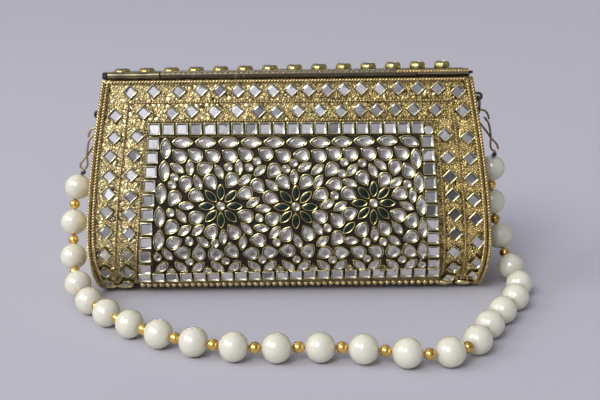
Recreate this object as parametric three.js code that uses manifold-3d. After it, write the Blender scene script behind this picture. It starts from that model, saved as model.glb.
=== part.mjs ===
// Kundan clutch bag: a brass-sheet body set with foiled stones, a hinged metal lid and a pearl handle.
// Millimetres, +Z up, +X to the wearer's right of the hinge side, -Y towards the decorated front.
// The origin is on the surface the bag stands on, under the middle of the body.
import * as THREE from "three";
import { mergeVertices } from "three/addons/utils/BufferGeometryUtils.js";
import Module from "manifold-3d";

const wasm = await Module();
wasm.setup();

// Clearance between pieces that touch
const seatGap = 0.3;

// Body sheet: one brass sheet folded round front, bottom and back
const sheetThickness = 1.2;
const rimHeight = 108.6;
const rimHalfDepth = 9;
const rimHalfWidth = 92.3;
const bellyHeight = 29;
const bellyHalfDepth = 30;
const bellyHalfWidth = 101.2;
const baseHeight = 2.6;
const baseHalfDepth = 13;
const baseHalfWidth = 98.2;
const sideCurve = 1.5;

// End plates: set in from the sheet's free edges
const endPlateThickness = 1.2;
const endPlateInset = 3;

// Ropes of twisted wire soldered along the edges
const edgeRopeWidth = 4.2;
const edgeRopeHeight = 2;
const edgeRopeTopDrop = 1.4;
const rimRopeRadius = 1.05;
const rimRopeStandOff = 0.3;
const frontRopeDrop = 0.85;

// Kundan panel: lac-filled plate inside a frame of square mirror settings
const panelTopHeight = 87.6;
const panelBottomHeight = 5.2;
const panelTopHalfWidth = 71.6;
const panelBottomHalfWidth = 77;
const panelThickness = 1.2;
const mirrorFrameWidth = 6.9;
const mirrorFrameThickness = 1.9;
const mirrorPocketSize = 5.2;
const mirrorPocketDepth = 0.7;
const mirrorsAcrossTop = 21;
const mirrorsAcrossBottom = 22;
const mirrorsDownSide = 10;
const bezelHeight = 0.9;
const petalLength = 8.2;
const petalWidth = 3.8;
const petalReach = 7.1;
const petalCount = 8;
const flowerCentreRadius = 2;
const flowerHeight = 53.6;
const flowerXs = [-33.8, 3.2, 41.5];
const borderStoneLength = 10;
const borderStoneWidth = 5.2;
const borderStoneInset = 3.6;
const borderStonesAcross = 11;
const borderStonesDown = 5;
const borderStonePitch = 11.6;

// Settings under the side bands, on which the bag stands
const footSize = 6;
const footX = 84;
const footY = 8;

// Lid and hinge
const lidHalfLength = 91.3;
const lidThickness = 1.2;
const lidBackFlangeDepth = 3.2;
const lidFlangeThickness = 1;
const hingeTubeRadius = 1.9;
const hingeBoreRadius = 1;
const hingePinRadius = 0.7;
const hingeAxisY = -9.5;
const leftKnuckleEnd = -89.4;
const leftKnuckleJoint = -63.1;
const rightKnuckleJoint = 64.1;
const rightKnuckleEnd = 90;
const pinHeadRadius = 1.9;
const pinHeadLength = 2.2;
const pinTipReach = 2.2;
const lidSettingCount = 14;
const lidSettingPitch = 12.5;
const lidSettingFirstX = -84;
const lidSettingRadius = 3.95;
const lidSettingTaper = 0.8;
const lidSettingHeight = 2.1;
const lidSettingRise = 1.8;

// Velvet lining
const liningThickness = 1;
const liningTopDrop = 2.4;
const lidLiningThickness = 0.8;

// Catch on the hidden back: a forked spring tongue over a round stud
const tongueWidth = 14;
const tongueThickness = 1;
const tongueDrop = 10.8;
const studDrop = 8.2;
const studRadius = 2;
const forkGap = 0.35;

// Handle fittings
const lugWireRadius = 0.7;
const lugLoopRadius = 1.7;
const lugReach = 97.3;
const leftLugDrop = 19;
const rightFittingRise = 7.2;
const ringRadius = 4.4;
const ringWireRadius = 0.65;
const hookWireRadius = 0.5;
const hookCrossing = 0.8;

// Pearl string
const pearlDiameter = 13.5;
const pearlBore = 2.8;
const pearlCount = 24;
const stringDiameter = 1;
const stringSides = 8;
const stringSteps = 80;
const stringLead = 9;

const material = (color, metalness, roughness) => new THREE.MeshStandardMaterial({ color, metalness, roughness });
const antiqueBrass = material(0xb8923f, 1, 0.4);
const polishedBrass = material(0xd9b45c, 1, 0.2);
const blackLac = material(0x121a12, 0, 0.3);
const mirrorGlass = material(0xd8d8d8, 1, 0.1);
const blackPaint = material(0x1a1a1e, 0.2, 0.5);
const velvet = material(0x5a1a2a, 0, 0.95);
const copperWire = material(0xa8824e, 1, 0.4);
const pearlCoat = material(0xefe9d8, 0, 0.25);
const whiteThread = material(0xe6e0cf, 0, 0.8);

const bag = new THREE.Group();

function add(name, geometry, finish) {
  const mesh = new THREE.Mesh(geometry, finish);
  mesh.name = name;
  bag.add(mesh);
  return mesh;
}

// Booleans
function toSolid(geometry) {
  const bare = geometry.clone();
  bare.deleteAttribute("normal");
  bare.deleteAttribute("uv");
  const merged = mergeVertices(bare, 1e-4);
  return new wasm.Manifold(
    new wasm.Mesh({
      numProp: 3,
      vertProperties: merged.attributes.position.array,
      triVerts: new Uint32Array(merged.index.array),
    }),
  );
}

function toGeometry(solid) {
  const mesh = solid.getMesh();
  const geometry = new THREE.BufferGeometry();
  geometry.setAttribute("position", new THREE.BufferAttribute(new Float32Array(mesh.vertProperties), 3));
  geometry.setIndex(new THREE.BufferAttribute(new Uint32Array(mesh.triVerts), 1));
  geometry.computeVertexNormals();
  return geometry;
}

// A closed solid through rings of points, all with the same number of points
function loft(rings) {
  const count = rings[0].length;
  const positions = rings.flat().flatMap((p) => [p.x, p.y, p.z]);
  const index = [];
  for (let i = 0; i + 1 < rings.length; i++) {
    for (let j = 0; j < count; j++) {
      const a = i * count + j;
      const b = i * count + ((j + 1) % count);
      index.push(a, b, b + count, a, b + count, a + count);
    }
  }
  const last = (rings.length - 1) * count;
  for (let j = 1; j + 1 < count; j++) {
    index.push(0, j + 1, j);
    index.push(last, last + j, last + j + 1);
  }
  if (signedVolume(positions, index) < 0) {
    for (let i = 0; i < index.length; i += 3) {
      [index[i + 1], index[i + 2]] = [index[i + 2], index[i + 1]];
    }
  }
  const geometry = new THREE.BufferGeometry();
  geometry.setAttribute("position", new THREE.Float32BufferAttribute(positions, 3));
  geometry.setIndex(index);
  geometry.computeVertexNormals();
  return geometry;
}

function signedVolume(positions, index) {
  const corner = (i) => new THREE.Vector3().fromArray(positions, index[i] * 3);
  let volume = 0;
  for (let i = 0; i < index.length; i += 3) {
    volume += corner(i).dot(corner(i + 1).cross(corner(i + 2)));
  }
  return volume;
}

function box(x0, x1, y0, y1, z0, z1) {
  return new THREE.BoxGeometry(x1 - x0, y1 - y0, z1 - z0).translate((x0 + x1) / 2, (y0 + y1) / 2, (z0 + z1) / 2);
}

// A cylinder from x0 to x1 along X
function rodAlongX(radius, x0, x1, y, z, sides) {
  const rod = new THREE.CylinderGeometry(radius, radius, x1 - x0, sides);
  return rod.rotateZ(Math.PI / 2).translate((x0 + x1) / 2, y, z);
}

// A round section swept along a curve
function wire(curve, radius, steps, sides) {
  const section = new THREE.Shape(
    Array.from({ length: sides }, (_, i) => {
      const angle = (2 * Math.PI * i) / sides;
      return new THREE.Vector2(radius * Math.cos(angle), radius * Math.sin(angle));
    }),
  );
  return new THREE.ExtrudeGeometry(section, { steps, extrudePath: curve, bevelEnabled: false });
}

// Outer profile of the body in the Y-Z plane, from the front rim under the base to the back rim
function bodyProfile() {
  const path = new THREE.Path();
  const belly = new THREE.Vector2(bellyHalfDepth, bellyHeight);
  const wallLean = (bellyHalfDepth - rimHalfDepth) / (rimHeight - bellyHeight);
  const wallHandle = (rimHeight - bellyHeight) / 3;
  const cornerHandle = (bellyHeight - baseHeight) * 0.62;
  path.moveTo(-rimHalfDepth, rimHeight);
  path.bezierCurveTo(
    -rimHalfDepth - wallHandle * wallLean * 1.15, rimHeight - wallHandle,
    -belly.x + wallHandle * wallLean * 0.35, belly.y + wallHandle,
    -belly.x, belly.y,
  );
  path.bezierCurveTo(
    -belly.x, belly.y - cornerHandle,
    -baseHalfDepth - (bellyHalfDepth - baseHalfDepth) * 0.55, baseHeight,
    -baseHalfDepth, baseHeight,
  );
  path.lineTo(baseHalfDepth, baseHeight);
  path.bezierCurveTo(
    baseHalfDepth + (bellyHalfDepth - baseHalfDepth) * 0.55, baseHeight,
    belly.x, belly.y - cornerHandle,
    belly.x, belly.y,
  );
  path.bezierCurveTo(
    belly.x - wallHandle * wallLean * 0.35, belly.y + wallHandle,
    rimHalfDepth + wallHandle * wallLean * 1.15, rimHeight - wallHandle,
    rimHalfDepth, rimHeight,
  );
  return path;
}

// Half the width of the body at a height: widest at the belly, drawn in towards rim and base
function halfWidthAt(z) {
  if (z >= bellyHeight) {
    const t = Math.min(1, (z - bellyHeight) / (rimHeight - bellyHeight));
    return bellyHalfWidth - (bellyHalfWidth - rimHalfWidth) * t ** sideCurve;
  }
  const t = (bellyHeight - z) / (bellyHeight - baseHeight);
  return bellyHalfWidth - (bellyHalfWidth - baseHalfWidth) * t ** 2;
}

// The profile as points with their outward normals and running length
const profilePoints = bodyProfile().getPoints(12);
const profile = profilePoints.map((p, i) => {
  const before = profilePoints[Math.max(0, i - 1)];
  const after = profilePoints[Math.min(profilePoints.length - 1, i + 1)];
  const into = p.clone().sub(before).normalize();
  const out = after.clone().sub(p).normalize();
  const along = into.add(out).normalize();
  return { y: p.x, z: p.y, ny: along.y, nz: -along.x, s: 0 };
});
for (let i = 1; i < profile.length; i++) {
  profile[i].s = profile[i - 1].s + profilePoints[i].distanceTo(profilePoints[i - 1]);
}
const profileLength = profile[profile.length - 1].s;

function profileAt(s) {
  const i = Math.max(1, profile.findIndex((p) => p.s >= s - 1e-9));
  const a = profile[i - 1];
  const b = profile[i];
  const t = (s - a.s) / (b.s - a.s);
  const mix = (key) => a[key] + (b[key] - a[key]) * t;
  return { y: mix("y"), z: mix("z"), ny: mix("ny"), nz: mix("nz"), s };
}

// Running length down the front at which the profile passes a height
function lengthAtHeight(z) {
  const i = profile.findIndex((p) => p.z <= z);
  const a = profile[i - 1];
  const b = profile[i];
  return a.s + ((b.s - a.s) * (a.z - z)) / (a.z - b.z);
}

// Half the depth at a height, measured to a surface set in from the outer profile
function halfDepthAt(z, inset) {
  const front = profile.filter((p) => p.y < 0).map((p) => ({ y: p.y - p.ny * inset, z: p.z - p.nz * inset }));
  for (let i = 1; i < front.length; i++) {
    if (front[i].z <= z && front[i - 1].z > z) {
      const t = (front[i - 1].z - z) / (front[i - 1].z - front[i].z);
      return -(front[i - 1].y + (front[i].y - front[i - 1].y) * t);
    }
  }
  return z > bellyHeight ? rimHalfDepth - inset : baseHalfDepth;
}

// A strip that follows the body between two running lengths, from one side line to another, between two offsets
function strip(from, to, left, right, low, high) {
  const stations = [from, ...profile.map((p) => p.s).filter((s) => s > from + 0.4 && s < to - 0.4), to];
  return loft(
    stations.map((s) => {
      const p = profileAt(s);
      const x0 = left(p);
      const x1 = right(p);
      const at = (x, offset) => new THREE.Vector3(x, p.y + p.ny * offset, p.z + p.nz * offset);
      return [at(x0, low), at(x1, low), at(x1, high), at(x0, high)];
    }),
  );
}

// Body sheet
const sheetEdge = (p) => halfWidthAt(p.z);
add(
  "body_sheet",
  strip(0, profileLength, (p) => -sheetEdge(p), sheetEdge, -sheetThickness, 0),
  antiqueBrass,
);

// End plates: each fills the gap between front and back, following the same side curve
const innerHeights = (() => {
  const floor = baseHeight + sheetThickness + seatGap;
  const curve = profile
    .filter((p) => p.y < 0)
    .map((p) => p.z - p.nz * (sheetThickness + seatGap))
    .filter((z) => z > floor + 0.05 && z < rimHeight - 0.5)
    .reverse();
  return [floor + 0.02, ...curve];
})();

function endPlate(side) {
  const inset = sheetThickness + seatGap;
  const level = (z, front, back) => {
    const outer = halfWidthAt(z) - endPlateInset;
    const inner = outer - endPlateThickness;
    return [
      new THREE.Vector3(side * inner, front, z),
      new THREE.Vector3(side * outer, front, z),
      new THREE.Vector3(side * outer, back, z),
      new THREE.Vector3(side * inner, back, z),
    ];
  };
  const rings = innerHeights.map((z) => level(z, -halfDepthAt(z, inset), halfDepthAt(z, inset)));
  const rimDepth = rimHalfDepth - inset;
  rings.push(level(rimHeight, -rimDepth, rimDepth));
  return loft(rings);
}
add("end_plate_left", endPlate(-1), antiqueBrass);
add("end_plate_right", endPlate(1), antiqueBrass);

// Velvet lining: a pocket just inside sheet and end plates, open at the top
function liningBlock(inset, floor, top) {
  const level = (z) => {
    const x = halfWidthAt(z) - endPlateInset - endPlateThickness - seatGap - inset;
    const y = halfDepthAt(z, sheetThickness + seatGap + inset);
    return [
      new THREE.Vector3(-x, -y, z),
      new THREE.Vector3(x, -y, z),
      new THREE.Vector3(x, y, z),
      new THREE.Vector3(-x, y, z),
    ];
  };
  return loft([floor, ...innerHeights.filter((z) => z > floor + 0.2 && z < top - 0.2), top].map(level));
}
const liningFloor = baseHeight + sheetThickness + seatGap;
const liningTop = rimHeight - liningTopDrop;
const liningOuter = toSolid(liningBlock(0, liningFloor + 0.02, liningTop));
const liningHollow = toSolid(liningBlock(liningThickness, liningFloor + liningThickness, rimHeight));
add("lining", toGeometry(liningOuter.subtract(liningHollow)), velvet);

// Edge ropes: a doubled twisted wire that runs down the front, under the base and up the back
const ropeEnd = profileLength - edgeRopeTopDrop;
for (const [name, side] of [["left", -1], ["right", 1]]) {
  const outerLine = (p) => side * halfWidthAt(p.z);
  const innerLine = (p) => side * (halfWidthAt(p.z) - edgeRopeWidth);
  add(
    "edge_rope_" + name,
    strip(edgeRopeTopDrop, ropeEnd, outerLine, innerLine, seatGap, seatGap + edgeRopeHeight),
    antiqueBrass,
  );
}

// Rim ropes: one under the hinge, one below the lid's flange at the back
const lidUnder = rimHeight + seatGap;
const lidFlangeBottom = lidUnder - lidBackFlangeDepth;
const frontRopeHeight = rimHeight - frontRopeDrop;
const frontRopeY = -(rimHalfDepth + seatGap + rimRopeRadius + rimRopeStandOff);
const backRopeHeight = lidFlangeBottom - seatGap - rimRopeRadius;
const backRopeY = halfDepthAt(backRopeHeight - rimRopeRadius, 0) + seatGap + rimRopeRadius;
const rimRopeHalfLength = rimHalfWidth - edgeRopeWidth - seatGap;
for (const [name, y, z] of [["front", frontRopeY, frontRopeHeight], ["back", backRopeY, backRopeHeight]]) {
  add(
    "rim_rope_" + name,
    rodAlongX(rimRopeRadius, -rimRopeHalfLength, rimRopeHalfLength, y, z, 8),
    antiqueBrass,
  );
}

// Kundan panel and the frame of mirror settings round it
const panelTop = lengthAtHeight(panelTopHeight);
const panelBottom = lengthAtHeight(panelBottomHeight);
const panelHalfWidth = (s) =>
  panelTopHalfWidth + ((panelBottomHalfWidth - panelTopHalfWidth) * (s - panelTop)) / (panelBottom - panelTop);
function panelStrip(inset, low, high) {
  const edge = (p) => panelHalfWidth(p.s) - inset;
  return strip(panelTop + inset, panelBottom - inset, (p) => -edge(p), edge, low, high);
}
const mirrorFrameTop = seatGap + mirrorFrameThickness;
const mirrorBandHole = toSolid(panelStrip(mirrorFrameWidth, -1, mirrorFrameTop + 1));
let mirrorBand = toSolid(panelStrip(0, seatGap, mirrorFrameTop)).subtract(mirrorBandHole);
function mirrorPocket(x, s) {
  const half = mirrorPocketSize / 2;
  const rings = [s - half, s + half].map((at) => {
    const p = profileAt(at);
    const corner = (dx, offset) => new THREE.Vector3(x + dx, p.y + p.ny * offset, p.z + p.nz * offset);
    const low = mirrorFrameTop - mirrorPocketDepth;
    const high = mirrorFrameTop + 1;
    return [corner(-half, low), corner(half, low), corner(half, high), corner(-half, high)];
  });
  return toSolid(loft(rings));
}
const mirrorLine = mirrorFrameWidth / 2;
const topMirrors = panelTop + mirrorLine;
const bottomMirrors = panelBottom - mirrorLine;
const pockets = [];
for (const [s, count] of [[topMirrors, mirrorsAcrossTop], [bottomMirrors, mirrorsAcrossBottom]]) {
  const reach = panelHalfWidth(s) - mirrorLine;
  for (let i = 0; i < count; i++) {
    pockets.push(mirrorPocket(-reach + (2 * reach * i) / (count - 1), s));
  }
}
for (let i = 1; i <= mirrorsDownSide; i++) {
  const s = topMirrors + ((bottomMirrors - topMirrors) * i) / (mirrorsDownSide + 1);
  for (const side of [-1, 1]) {
    pockets.push(mirrorPocket(side * (panelHalfWidth(s) - mirrorLine), s));
  }
}
mirrorBand = mirrorBand.subtract(wasm.Manifold.union(pockets));
add("mirror_frame", toGeometry(mirrorBand), mirrorGlass);

// Stone settings on the lac: pointed ovals round the edge and in three flowers, each flower with a round middle
function setting(x, s, length, width, turn) {
  const p = profileAt(s);
  const outline = new THREE.Shape();
  outline.moveTo(length / 2, 0);
  outline.quadraticCurveTo(length / 6, width * 0.72, -length / 2, 0);
  outline.quadraticCurveTo(-length / 6, -width * 0.72, length / 2, 0);
  const round = new THREE.Shape().absarc(0, 0, length / 2, 0, 2 * Math.PI, false);
  const shape = width === length ? round : outline;
  const depth = bezelHeight + panelThickness / 2;
  const geometry = new THREE.ExtrudeGeometry(shape, { depth, bevelEnabled: false, curveSegments: 4 });
  const base = seatGap + panelThickness / 2;
  const across = new THREE.Vector3(1, 0, 0);
  const normal = new THREE.Vector3(0, p.ny, p.nz);
  const place = new THREE.Matrix4().makeBasis(across, normal.clone().cross(across), normal);
  place.setPosition(x, p.y + p.ny * base, p.z + p.nz * base);
  return toSolid(geometry.rotateZ(turn).applyMatrix4(place));
}
const settings = [];
const flowerLine = lengthAtHeight(flowerHeight);
for (const flowerX of flowerXs) {
  settings.push(setting(flowerX, flowerLine, 2 * flowerCentreRadius, 2 * flowerCentreRadius, 0));
  for (let i = 0; i < petalCount; i++) {
    const turn = (2 * Math.PI * i) / petalCount;
    const x = flowerX + petalReach * Math.cos(turn);
    settings.push(setting(x, flowerLine - petalReach * Math.sin(turn), petalLength, petalWidth, turn));
  }
}
const borderLine = mirrorFrameWidth + seatGap + borderStoneInset;
for (let i = 0; i < borderStonesAcross; i++) {
  const x = (i - (borderStonesAcross - 1) / 2) * borderStonePitch;
  settings.push(setting(x, panelTop + borderLine, borderStoneLength, borderStoneWidth, 0));
}
for (let i = 0; i < borderStonesDown; i++) {
  const s = panelTop + borderLine + (i + 1) * borderStonePitch;
  const x = panelHalfWidth(s) - borderLine;
  settings.push(setting(-x, s, borderStoneLength, borderStoneWidth, Math.PI / 2));
  settings.push(setting(x, s, borderStoneLength, borderStoneWidth, Math.PI / 2));
}
const lacPlate = toSolid(panelStrip(mirrorFrameWidth + seatGap, seatGap, seatGap + panelThickness));
add("kundan_panel", toGeometry(lacPlate.add(wasm.Manifold.union(settings))), blackLac);

// Feet: square settings soldered under the side bands
for (const [end, sideX] of [["left", -1], ["right", 1]]) {
  for (const [face, sideY] of [["front", -1], ["back", 1]]) {
    const half = footSize / 2;
    const x = sideX * footX;
    const y = sideY * footY;
    add(
      `foot_setting_${face}_${end}`,
      box(x - half, x + half, y - half, y + half, 0, baseHeight - seatGap),
      polishedBrass,
    );
  }
}

// Hinge: knuckles on one pin; the long middle one is the lid's
const hingeAxisZ = rimHeight + seatGap + hingeTubeRadius;
function knuckle(x0, x1) {
  const outline = [
    new THREE.Vector2(hingeBoreRadius, x0),
    new THREE.Vector2(hingeTubeRadius, x0),
    new THREE.Vector2(hingeTubeRadius, x1),
    new THREE.Vector2(hingeBoreRadius, x1),
    new THREE.Vector2(hingeBoreRadius, x0),
  ];
  return new THREE.LatheGeometry(outline, 16).rotateZ(-Math.PI / 2).translate(0, hingeAxisY, hingeAxisZ);
}
add("hinge_knuckle_left", knuckle(leftKnuckleEnd, leftKnuckleJoint - seatGap), polishedBrass);
add("hinge_knuckle_right", knuckle(rightKnuckleJoint + seatGap, rightKnuckleEnd), polishedBrass);
add("hinge_knuckle_middle", knuckle(leftKnuckleJoint, rightKnuckleJoint), polishedBrass);

const pinHeadInner = leftKnuckleEnd - seatGap;
const pinOutline = [
  new THREE.Vector2(0, pinHeadInner - pinHeadLength),
  new THREE.Vector2(pinHeadRadius * 0.8, pinHeadInner - pinHeadLength),
  new THREE.Vector2(pinHeadRadius, pinHeadInner - pinHeadLength * 0.8),
  new THREE.Vector2(pinHeadRadius, pinHeadInner),
  new THREE.Vector2(hingePinRadius, pinHeadInner),
  new THREE.Vector2(hingePinRadius, rightKnuckleEnd + pinTipReach),
  new THREE.Vector2(0, rightKnuckleEnd + pinTipReach),
];
add(
  "hinge_pin",
  new THREE.LatheGeometry(pinOutline, 12).rotateZ(-Math.PI / 2).translate(0, hingeAxisY, hingeAxisZ),
  blackPaint,
);

// Lid: a flat plate behind the hinge, with a flange over the back rim and one outside each end plate,
// and a row of round settings that rise towards the right
const lidTop = lidUnder + lidThickness;
const lidFront = hingeAxisY + Math.sqrt((hingeTubeRadius + seatGap) ** 2 - (hingeAxisZ - lidTop) ** 2);
const lidFlangeY = halfDepthAt(lidFlangeBottom, 0) + seatGap;
const lidBack = lidFlangeY + lidFlangeThickness;
function lidSolid() {
  const corner = 2.5;
  const outline = new THREE.Shape();
  outline.moveTo(-lidHalfLength, lidFront);
  outline.lineTo(lidHalfLength, lidFront);
  outline.lineTo(lidHalfLength, lidBack - corner);
  outline.absarc(lidHalfLength - corner, lidBack - corner, corner, 0, Math.PI / 2, false);
  outline.absarc(corner - lidHalfLength, lidBack - corner, corner, Math.PI / 2, Math.PI, false);
  outline.closePath();
  const plate = new THREE.ExtrudeGeometry(outline, { depth: lidThickness, bevelEnabled: false, curveSegments: 4 });
  let lid = toSolid(plate.translate(0, 0, lidUnder));
  const overlap = lidThickness / 2;
  const flangeHalf = rimHalfWidth - edgeRopeWidth - seatGap * 2;
  const backFlange = box(-flangeHalf, flangeHalf, lidFlangeY, lidBack, lidFlangeBottom, lidUnder + overlap);
  lid = lid.add(toSolid(backFlange));
  for (const side of [-1, 1]) {
    const x = side * (halfWidthAt(lidFlangeBottom) - endPlateInset + seatGap + lidFlangeThickness / 2);
    const half = lidFlangeThickness / 2;
    const reach = rimHalfDepth - sheetThickness - seatGap * 4;
    const flange = box(x - half, x + half, -reach, reach, lidFlangeBottom, lidUnder + overlap);
    lid = lid.add(toSolid(flange));
  }
  for (let i = 0; i < lidSettingCount; i++) {
    const height = lidSettingHeight + (lidSettingRise * i) / (lidSettingCount - 1);
    const cup = new THREE.CylinderGeometry(lidSettingRadius * lidSettingTaper, lidSettingRadius, height + overlap, 12);
    const x = lidSettingFirstX + i * lidSettingPitch;
    cup.rotateX(Math.PI / 2).translate(x, (lidFront + lidBack) / 2, lidTop + (height - overlap) / 2);
    lid = lid.add(toSolid(cup));
  }
  return toGeometry(lid);
}
add("lid", lidSolid(), antiqueBrass);

const lidLiningX = rimHalfWidth - endPlateInset - endPlateThickness - seatGap * 2;
const lidLiningY = rimHalfDepth - sheetThickness - seatGap * 2;
add(
  "lid_lining",
  box(
    -lidLiningX, lidLiningX, -lidLiningY, lidLiningY,
    lidUnder - seatGap - lidLiningThickness, lidUnder - seatGap,
  ),
  velvet,
);

// Catch: the tongue hangs from the lid's back flange and its fork straddles the stud
const tongueBottom = rimHeight - tongueDrop;
const studHeight = rimHeight - studDrop;
const tongueInner = Math.max(backRopeY + rimRopeRadius, halfDepthAt(tongueBottom, 0)) + seatGap;
const tongueOuter = tongueInner + tongueThickness;
function tongueSolid() {
  const side = new THREE.Shape();
  side.moveTo(lidBack + seatGap, lidTop);
  side.lineTo(lidBack + seatGap, lidFlangeBottom + 0.6);
  side.lineTo(tongueInner, lidFlangeBottom + 0.1);
  side.lineTo(tongueInner, tongueBottom);
  side.lineTo(tongueOuter, tongueBottom);
  side.lineTo(tongueOuter, lidTop - 0.8);
  side.lineTo(tongueOuter - 0.8, lidTop);
  side.closePath();
  // The side view is drawn in Y-Z and extruded along X
  const blade = new THREE.ExtrudeGeometry(side, { depth: tongueWidth, bevelEnabled: false });
  blade.rotateX(Math.PI / 2).rotateZ(Math.PI / 2).translate(-tongueWidth / 2, 0, 0);
  const reach = tongueOuter + 2;
  const slotRadius = studRadius + forkGap;
  const slotRound = new THREE.CylinderGeometry(slotRadius, slotRadius, reach, 16);
  slotRound.translate(0, reach / 2 + 8, studHeight);
  const slotOpen = box(-slotRadius, slotRadius, 8, 8 + reach, tongueBottom - 2, studHeight);
  return toGeometry(toSolid(blade).subtract(toSolid(slotRound)).subtract(toSolid(slotOpen)));
}
add("catch_tongue", tongueSolid(), polishedBrass);

const studSeat = halfDepthAt(studHeight - studRadius, 0) + seatGap;
const studTip = tongueOuter + 1;
const studOutline = [
  new THREE.Vector2(0, studSeat),
  new THREE.Vector2(studRadius, studSeat),
  new THREE.Vector2(studRadius, studTip - 1),
  new THREE.Vector2(studRadius * 0.7, studTip - 0.3),
  new THREE.Vector2(0, studTip),
];
add("catch_stud", new THREE.LatheGeometry(studOutline, 12).translate(0, 0, studHeight), polishedBrass);

// Handle fittings: a staple lug on each end plate, a ring through it and a sprung wire hook
function lug(side, height) {
  const plate = halfWidthAt(height - lugLoopRadius - lugWireRadius) - endPlateInset + seatGap;
  const straight = lugReach - plate;
  const points = [];
  const turn = 8;
  points.push(new THREE.Vector3(side * plate, 0, height + lugLoopRadius));
  points.push(new THREE.Vector3(side * (plate + straight / 2), 0, height + lugLoopRadius));
  for (let i = 0; i <= turn; i++) {
    const angle = Math.PI / 2 - (Math.PI * i) / turn;
    const reach = lugReach + lugLoopRadius * Math.cos(angle);
    points.push(new THREE.Vector3(side * reach, 0, height + lugLoopRadius * Math.sin(angle)));
  }
  points.push(new THREE.Vector3(side * (plate + straight / 2), 0, height - lugLoopRadius));
  points.push(new THREE.Vector3(side * plate, 0, height - lugLoopRadius));
  return wire(new THREE.CatmullRomCurve3(points, false, "centripetal"), lugWireRadius, 20, 8);
}

function jumpRing(side, height) {
  const top = height - lugLoopRadius + lugWireRadius + ringWireRadius + seatGap;
  const ring = new THREE.TorusGeometry(ringRadius, ringWireRadius, 6, 18);
  return ring.rotateY(Math.PI / 2).translate(side * lugReach, 0, top - ringRadius);
}

// Hook points: sideways distance past the ring, distance across, and height over the ring's lowest wire
const hookRoute = [
  [6, 0, -3], [5.4, 0, -0.8], [3.8, 0, 1.3], [1.4, 0, 1.9], [-0.7, 0, 1.3], [-1.5, 0, -0.4], [-0.6, 0, -2.4],
  [2.4, 0.3, -6.2], [6.2, 1, -11], [7.7, 1, -13.1], [10.8, 0.7, -16.6], [11.3, 0.3, -18.6], [9.7, 0, -20],
  [7.9, -0.4, -18.6], [7.2, -1, -16], [7.3, -1, -13.1], [6.7, -0.8, -8.6], [5.7, -0.4, -4.8], [3.5, 0, -1.9],
];
function hookAnchor(height) {
  const ringTop = height - lugLoopRadius + lugWireRadius + ringWireRadius + seatGap;
  return ringTop - 2 * ringRadius;
}
function hook(side, height) {
  const z = hookAnchor(height);
  const points = hookRoute.map(
    ([x, y, dz]) => new THREE.Vector3(side * (lugReach + x), y * hookCrossing, z + dz),
  );
  return wire(new THREE.CatmullRomCurve3(points, false, "centripetal"), hookWireRadius, 48, 6);
}

const leftLugHeight = rimHeight - leftLugDrop;
for (const [name, side, height] of [["left", -1, leftLugHeight], ["right", 1, leftLugHeight + rightFittingRise]]) {
  add("handle_lug_" + name, lug(side, height), antiqueBrass);
  add("jump_ring_" + name, jumpRing(side, height), copperWire);
  add("wire_hook_" + name, hook(side, height), copperWire);
}

// Pearl string: from the left hook down to the surface, round the front and up to the right hook
const stringRoute = [
  [-107, 0, 59.8], [-111.4, -1, 49.6], [-112.6, -8, 31.2], [-110.6, -22, 14.6], [-103.4, -40.2, 7.7],
  [-93.6, -55.4, 6.9], [-80.9, -70.4, 6.8], [-65.2, -84.6, 6.8], [-48.4, -95.2, 6.8], [-30.5, -102.4, 6.8],
  [-11.5, -105.4, 6.8], [7.4, -105.2, 6.8], [25.8, -106.2, 6.8], [44.2, -110.4, 6.8], [62.4, -113.4, 6.8],
  [77.8, -106.6, 6.8], [87.2, -91, 6.8], [95.4, -74.2, 6.8], [105.4, -58.4, 6.8], [113.6, -42, 6.8],
  [116.5, -26.4, 7], [114.8, -10.6, 10.2], [111, -0.6, 23], [107.8, 3.4, 38.4], [106.2, 3, 56.4],
  [107, 0, 67],
].map((p) => new THREE.Vector3(...p));
const stringCurve = new THREE.CatmullRomCurve3(stringRoute, false, "centripetal");
stringCurve.arcLengthDivisions = 2000;
const stringLength = stringCurve.getLength();
add("handle_string", wire(stringCurve, stringDiameter / 2, stringSteps, stringSides), whiteThread);

// Pearls threaded at an even pitch, each bored along the string
function pearl() {
  const radius = pearlDiameter / 2;
  const bore = pearlBore / 2;
  const pole = Math.asin(bore / radius);
  const rings = 6;
  const outline = [];
  for (let i = 0; i <= rings; i++) {
    const angle = pole + ((Math.PI - 2 * pole) * i) / rings;
    outline.push(new THREE.Vector2(radius * Math.sin(angle), -radius * Math.cos(angle)));
  }
  outline.push(outline[0].clone());
  return new THREE.LatheGeometry(outline, 10);
}
const pearlPitch = (stringLength - 2 * stringLead) / (pearlCount - 1);
const boreAxis = new THREE.Vector3(0, 1, 0);
for (let i = 0; i < pearlCount; i++) {
  const u = (stringLead + i * pearlPitch) / stringLength;
  const halfBore = pearlDiameter / 2 / stringLength;
  const before = stringCurve.getPointAt(u - halfBore);
  const after = stringCurve.getPointAt(u + halfBore);
  const bead = add("pearl_" + String(i + 1).padStart(2, "0"), pearl(), pearlCoat);
  bead.position.copy(before).add(after).multiplyScalar(0.5).lerp(stringCurve.getPointAt(u), 0.5);
  bead.quaternion.setFromUnitVectors(boreAxis, after.clone().sub(before).normalize());
}

export default bag;
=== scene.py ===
# Kundan clutch bag: the finish of the brass, stones, ropes and pearls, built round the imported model.
# Shapes are worked out in millimetres and scaled to metres when a mesh is made.
import bisect
import math
import random

import bpy
from mathutils import Euler, Matrix, Vector
from mathutils.bvhtree import BVHTree


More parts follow.
